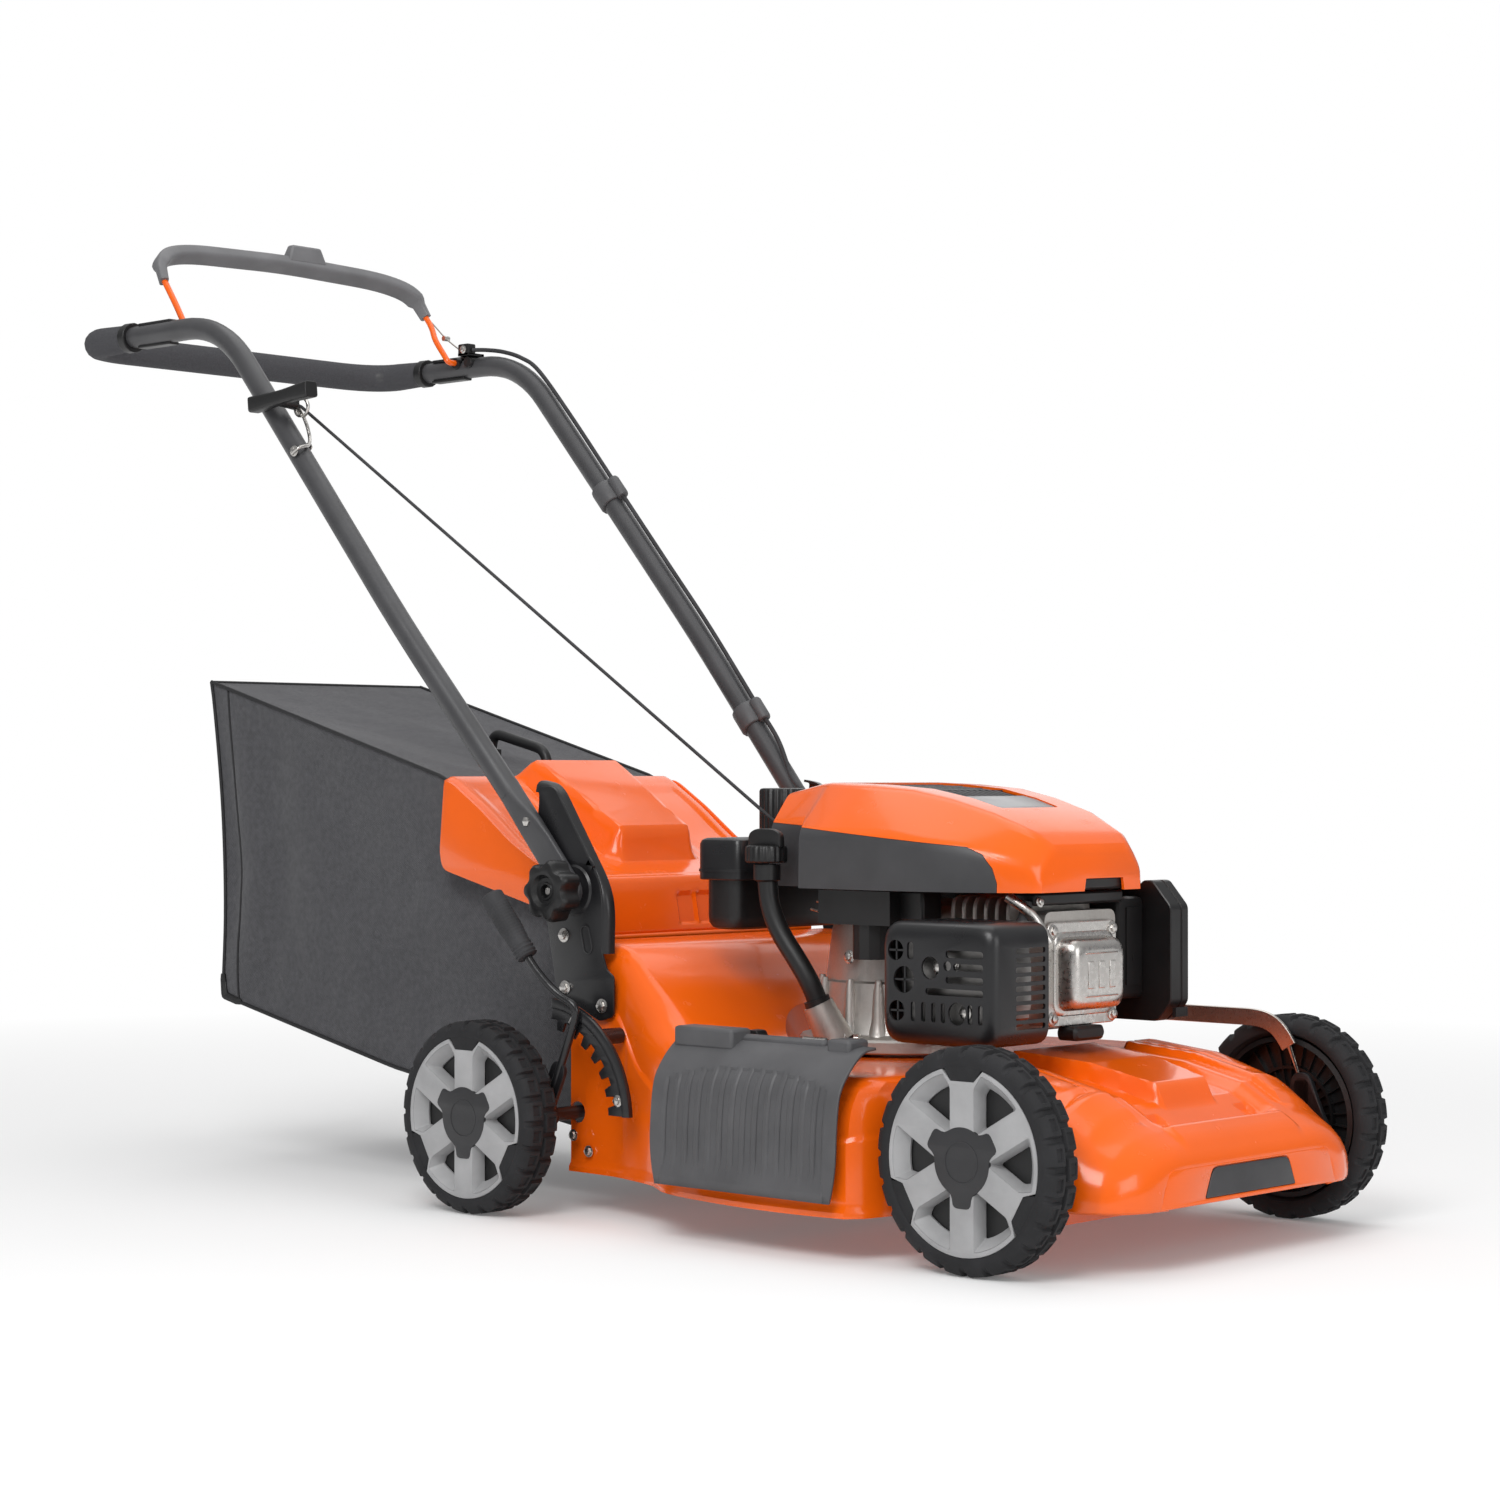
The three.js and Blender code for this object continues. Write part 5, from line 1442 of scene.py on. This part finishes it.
# Black discs on the tube stand in for its vent holes, which are not cut: painted shade.
vent_hole_shade = lathe(rect(0.01, 3, -221.2, -219), (0, 322, 418), "X", 16)
piece("handle_vent_holes_painted_shade", merge(vent_hole_shade, mirrored(vent_hole_shade)), BLACK, "handle")
sleeve = bent([(-226.9, 968, 950), (-226, 1064, 950), (226, 1064, 950), (226.9, 968, 950)], 66, 10)
foam_shape = swept(sleeve, lambda t: FOAM_RADIUS - 1.6 * (1 - step(min(t, 1 - t), 0, 0.012)))
foam = piece("foam_sleeve", foam_shape, FOAM, "handle", "foam_grip")
collars = [swept([(side * 226.9, 962, 950), (side * 226.8, 974, 950)], FOAM_RADIUS + 0.4) for side in (-1,
                                                                                                       1)]
piece("foam_collars", merge(*collars), BLACK, "handle", edge=1)
strips = [block(x - 7, x + 7, 888, 948, z, z + 3.5) for x in (-226, 226) for z in (961, 935.5)]
piece("bail_guide_strips", merge(*strips), BLACK, "handle", edge=1)
bosses = [lathe([(0.01, side * 212), (6.5, side * 212), (7.5, side * 214), (7.5, side * 226),
                 (0.01, side * 226)],
                (0, y, 956), "X", 24) for side in (-1, 1) for y in (897, 874)]
piece("bail_pivot_bosses", merge(*bosses), BLACK, "handle")


def on_tube(z, side, forward=0):
    """A point at a height on a side tube's axis, or one set off from it towards the front."""
    climb = min(max((z - 420) / 180, 0), 1)
    up = Vector((468, 530)).normalized()
    return Vector((side * (217 + 13 * climb), 327 + (z - 420) * up.x / up.y - forward * up.y,
                   z + forward * up.x))


def clip(z):
    """Collar round the left tube with an ear round the cable."""
    low, high = on_tube(z - 11, 1), on_tube(z + 11, 1)
    body = swept([low, low.lerp(high, 0.08), low.lerp(high, 0.92), high],
                 lambda t: 15.4 if t in (0, 1) else 16.4)
    low, high = on_tube(z - 13, 1, 18), on_tube(z + 9, 1, 18)
    ear = swept([low, low.lerp(high, 0.1), low.lerp(high, 0.9), high],
                lambda t: 6.4 if t in (0, 1) else 7.4)
    return merge(body, ear)


piece("clip_upper", clip(775), DARK_GREY, "handle", "cable_clip_upper", edge=1)
piece("clip_lower", clip(506), DARK_GREY, "handle", "cable_clip_lower", edge=1)
UPPER_CABLE = [(214, 866, 970), (222, 848, 969), (228, 824, 965), (229, 793, 955), (229.5, 763, 937),
               *[on_tube(z, 1, 18) for z in (870, 775, 680, 600, 508)]]
LOWER_CABLE = [on_tube(505, 1, 18), on_tube(470, 1, 18), (209, 332, 452), (198, 315, 438), (176, 275, 421),
               (144, 200, 404), (122, 145, 391), (108, 102, 377), (101, 86, 368)]
piece("brake_cable_top", swept(smooth(UPPER_CABLE, 8), CABLE_RADIUS), GRIP, "handle", "brake_cable_upper")
low_cable = piece("brake_cable_low", swept(smooth(LOWER_CABLE, 8), CABLE_RADIUS), GRIP, None,
                  "brake_cable_lower")
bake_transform(low_cable)
wire = piece("bail_wire_cable", swept(smooth([(212, 886.5, 971), (211, 912, 988), (209.5, 937, 1010)], 8),
                                      0.9), WIRE,
             None, "bail_cable")
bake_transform(wire)
anchor = merge(plate([rounded(rect(867, 886, 963.2, 978), 2, 2)], "X", 207.5, 220, 0.8),
               block(207.5, 234, 867, 886, 963.2, 966.5), block(230, 234, 867, 886, 950, 966.5))
piece("cable_anchor_block", anchor, BLACK, "handle", "cable_anchor")
piece("cable_barrel", merge(swept([(206.5, 912, 988), (215, 912, 988)], 3.4),
                            bolt((207.4, 876, 971), (-1, 0, 0), 6)),
      ZINC, "handle")

# The rope runs from the engine through the ring to the stem of the pull grip.
ENTRY, RING, STEM = (-58, 90, 383), (-218, 668, 847), (-226, 670, 850)
rope_line = [Vector(ENTRY).lerp(Vector(RING), k / 60) for k in range(61)]
rope = piece("starter_rope_run", swept(rope_line, ROPE_RADIUS), GRIP, None, "starter_rope")
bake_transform(rope)
tail_line = [Vector(RING).lerp(Vector(STEM), k / 40) for k in range(41)]
tail = piece("starter_rope_tail", swept(tail_line, ROPE_RADIUS), GRIP, None)
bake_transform(tail)
loop = []
for k in range(31):
    y, z = turned(2 * pi * k / 22 - 1.9, 10, 0)
    loop.append(Vector(RING) + Vector((3.4 * (k / 22 - 0.5), y, z)))
stalk = [(-216, 662, 828), (-217, 655, 812), (-226, 646, 803), (-238, 640, 800), (-246, 640, 797),
         (-246, 650, 792)]
piece("rope_ring", swept(loop + smooth([loop[-1], *stalk], 6)[1:], 2), ZINC, "handle", "rope_guide")
clamp_bolts = merge(bolt((-244, 648, 795), (-1, 0, 0), 7), bolt((-213, 662, 803), (1, 0, 0), 6))
piece("ring_clamp_bolts", clamp_bolts, ZINC, "handle")


def pull_grip():
    """Waisted T-bar on a stem."""
    def section(t):
        waist = 1 - 0.16 * sin(pi * t) ** 2
        w, h = 8.5 * waist, 8.8 * waist
        return rounded(rect(-w, w, -h, h), 3.5, 3)

    ends = [Vector((-253, 708, 849)), Vector((-253, 608, 859))]
    bar = swept([ends[0].lerp(ends[1], k / 16) for k in range(17)], section, up=(0, 0, 1))
    stem = swept([(-247, 670, 854), (-240, 670.5, 853), (-231, 671, 851.5), (-224, 671, 850)],
                 lambda t: 8.8 - 1.6 * t)
    return merge(bar, stem)


piece("starter_tee", pull_grip(), BLACK, "starter_grip", "pull_grip", edge=1, sharp=40)

# ---------- bail ----------
ARCH = [(-196, 958, 1046), (-150, 967, 1058), (0, 971, 1063), (150, 967, 1058), (196, 958, 1046)]
arms = [(-213, 897, 956), (-201, 897, 956), (-201, 903, 964), (-200, 918, 985), (-201, 944, 1022), *ARCH,
        (201, 944, 1022), (203, 930, 1003), (197, 917, 985), (201, 903, 964), (201, 897, 956),
        (213, 897, 956)]
piece("bail_bar", swept(bent(arms, 9, 5), 3.6), ORANGE, "bail", "bail_wire", sharp=50)


def bail_cover():
    """Flat bar over the wire with turned-down ends, and its thumb tab."""
    path = bent([(-201.5, 940, 1016), *ARCH, (201.5, 940, 1016)], 40, 8)

    def section(t):
        end = min(t, 1 - t)
        size = 0.62 + 0.38 * step(end, 0, 0.07)
        return rounded(rect(-11 * size, 11 * size, -8 * size, 8 * size), 4.5 * size, 3)

    tab = prism(rect(0, 60, 960, 978), "Z", 1066, 1087.5, top=rect(8, 52, 963, 974))
    return swept(path, section, up=(0, 0.57, 0.82)), tab


shell, tab = bail_cover()
piece("bail_grip_cover", shell, BAIL_GREY, "bail", "bail_cover", sharp=40)
piece("bail_thumb_tab", tab, BAIL_GREY, "bail", edge=2.5)


# ---------- grass bag ----------
BAG_HALF, BAG_MOUTH, PIPING_RADIUS = 160, 266, 2.1
# (y, z) of the bag's upper and lower edge.
BAG_TOP = [(266, 262), (300, 285), (341, 334), (379, 356), (425, 388), (470, 415), (492, 437), (903, 549)]
BAG_LOW = [(266, 76), (578, 121), (880, 185)]


def bag_side(v, w, sign):
    """A point on a side panel: v runs from the mouth to the rear, w from the bottom to the top."""
    y_low, y_high = BAG_MOUTH + 614 * v, BAG_MOUTH + 637 * v
    z_low, z_high = between(BAG_LOW, y_low)[0], between(BAG_TOP, y_high)[0]
    y, z = y_low + (y_high - y_low) * w, z_low + (z_high - z_low) * w
    hang = sin(pi * v) ** 0.8 * sin(pi * w) ** 0.8
    fold = sin(34 * v + 3.2 * w + 1.2 * sin(5 * w)) * step(v, 0.7, 0.95) * sin(pi * w) ** 0.5
    ripple = sin(9 * v + 15 * w) * 0.5 + sin(17 * v - 7 * w + 2) * 0.35
    diagonal = exp(-((w - 1.05 + 0.75 * v) / 0.05) ** 2) * hang
    sag = 11 * hang - 7 * fold * (1 - 0.6 * step(v, 0.96, 1)) + 7 * ripple * hang - 5 * diagonal
    pull = 9 * sin(pi * w) * step(v, 0.75, 1)
    return sign * (BAG_HALF - sag), y - pull, z


def bag_shell():
    """Rings from the mouth to the rear, then a slightly domed rear panel."""
    rows = []
    for i in range(73):
        v = i / 72
        right = [bag_side(v, k / 26, -1) for k in range(27)]
        left = [bag_side(v, 1 - k / 26, 1) for k in range(27)]
        _, top_y, top_z = right[-1]
        _, low_y, low_z = right[0]
        roof, floor = [], []
        for k in range(1, 24):
            u = 2 * k / 24 - 1
            dip = (1 - u * u) * sin(pi * v) ** 0.7
            crease = 1.5 * sin(6 * u + 11 * v) * dip
            roof.append((BAG_HALF * u, top_y, top_z - 9 * dip * step(v, 0.3, 0.5) + crease))
            floor.append((-BAG_HALF * u, low_y, low_z - 3 * dip))
        rows.append(right + roof + left + floor)
    edge = rows[-1]
    middle = Vector((0, 892, 366))
    for share in (0.75, 0.5, 0.25, 0.001):
        bulge = Vector((0, 6 * (1 - share), 0))
        rows.append([tuple(middle.lerp(Vector(p), share) + bulge) for p in edge])
    return grid(rows, wrap=True)


bag_cloth = piece("bag_fabric_shell", bag_shell(), WEAVE, "bag", "grass_bag", wall=2, sharp=55)


def piping():
    """Cords along the edges of both sides and round the rear panel."""
    cords = []
    for sign in (-1, 1):
        top = [bag_side(v / 40, 1, sign) for v in range(12, 41)]
        rear = [bag_side(1, w / 20, sign) for w in range(20, -1, -1)]
        low = [bag_side(v / 30, 0, sign) for v in range(30, -1, -1)]
        for path in (top, rear, low):
            cords.append(swept([(x + sign * 0.6, y, z + 0.6) for x, y, z in path], PIPING_RADIUS))
    for w in (0, 1):
        right, left = (Vector(bag_side(1, w, sign)) for sign in (-1, 1))
        cords.append(swept([right.lerp(left, k / 12) for k in range(13)], PIPING_RADIUS))
    return merge(*cords)


def seam(sign):
    """Raised strip down a side panel, just before its rear edge."""
    rows = []
    for k in range(41):
        x, y, z = bag_side(0.952, k / 40, sign)
        rows.append([(x + sign * out, y + along, z) for along,
                     out in ((-1.6, 0.1), (-1.2, 0.9), (1.2, 0.9), (1.6, 0.1))])
    return grid(rows)


def corner_cap(sign):
    """Hard cap over a lower rear corner."""
    x, y, z = bag_side(1, 0, sign)
    rows = []
    for out, size in ((2.5, 0.8), (2, 1), (-22, 1), (-26, 0.9)):
        ring = [(y - 34 * size, z - 9), (y + 1.5, z - 2.5), (y + 3.5, z + 26 * size),
                (y - 4, z + 26 * size), (y - 8, z + 4), (y - 34 * size, z - 2)]
        rows.append([(x + sign * out, a, b) for a, b in rounded(ring, [2, 5, 2, 2, 4, 2], 2)])
    return grid(rows, wrap=True, ends=True)


piece("bag_piping_cords", piping(), PIPING, "bag", sharp=60)
piece("bag_rear_seam", merge(seam(-1), seam(1)), PIPING, "bag", wall=0.8)
piece("bag_corner_caps", merge(corner_cap(-1), corner_cap(1)), BLACK, "bag", sharp=35)
arch = bent([(0, 598, 467), (0, 592, 489), (0, 508, 469), (0, 503, 443)], 15, 8)
pads = merge(block(-10, 10, 590, 606, 461, 471), block(-10, 10, 494, 510, 437, 448))
piece("bag_carry_arch", merge(swept(arch, 6), pads), BLACK, "bag", "bag_handle", edge=1.5, sharp=45)
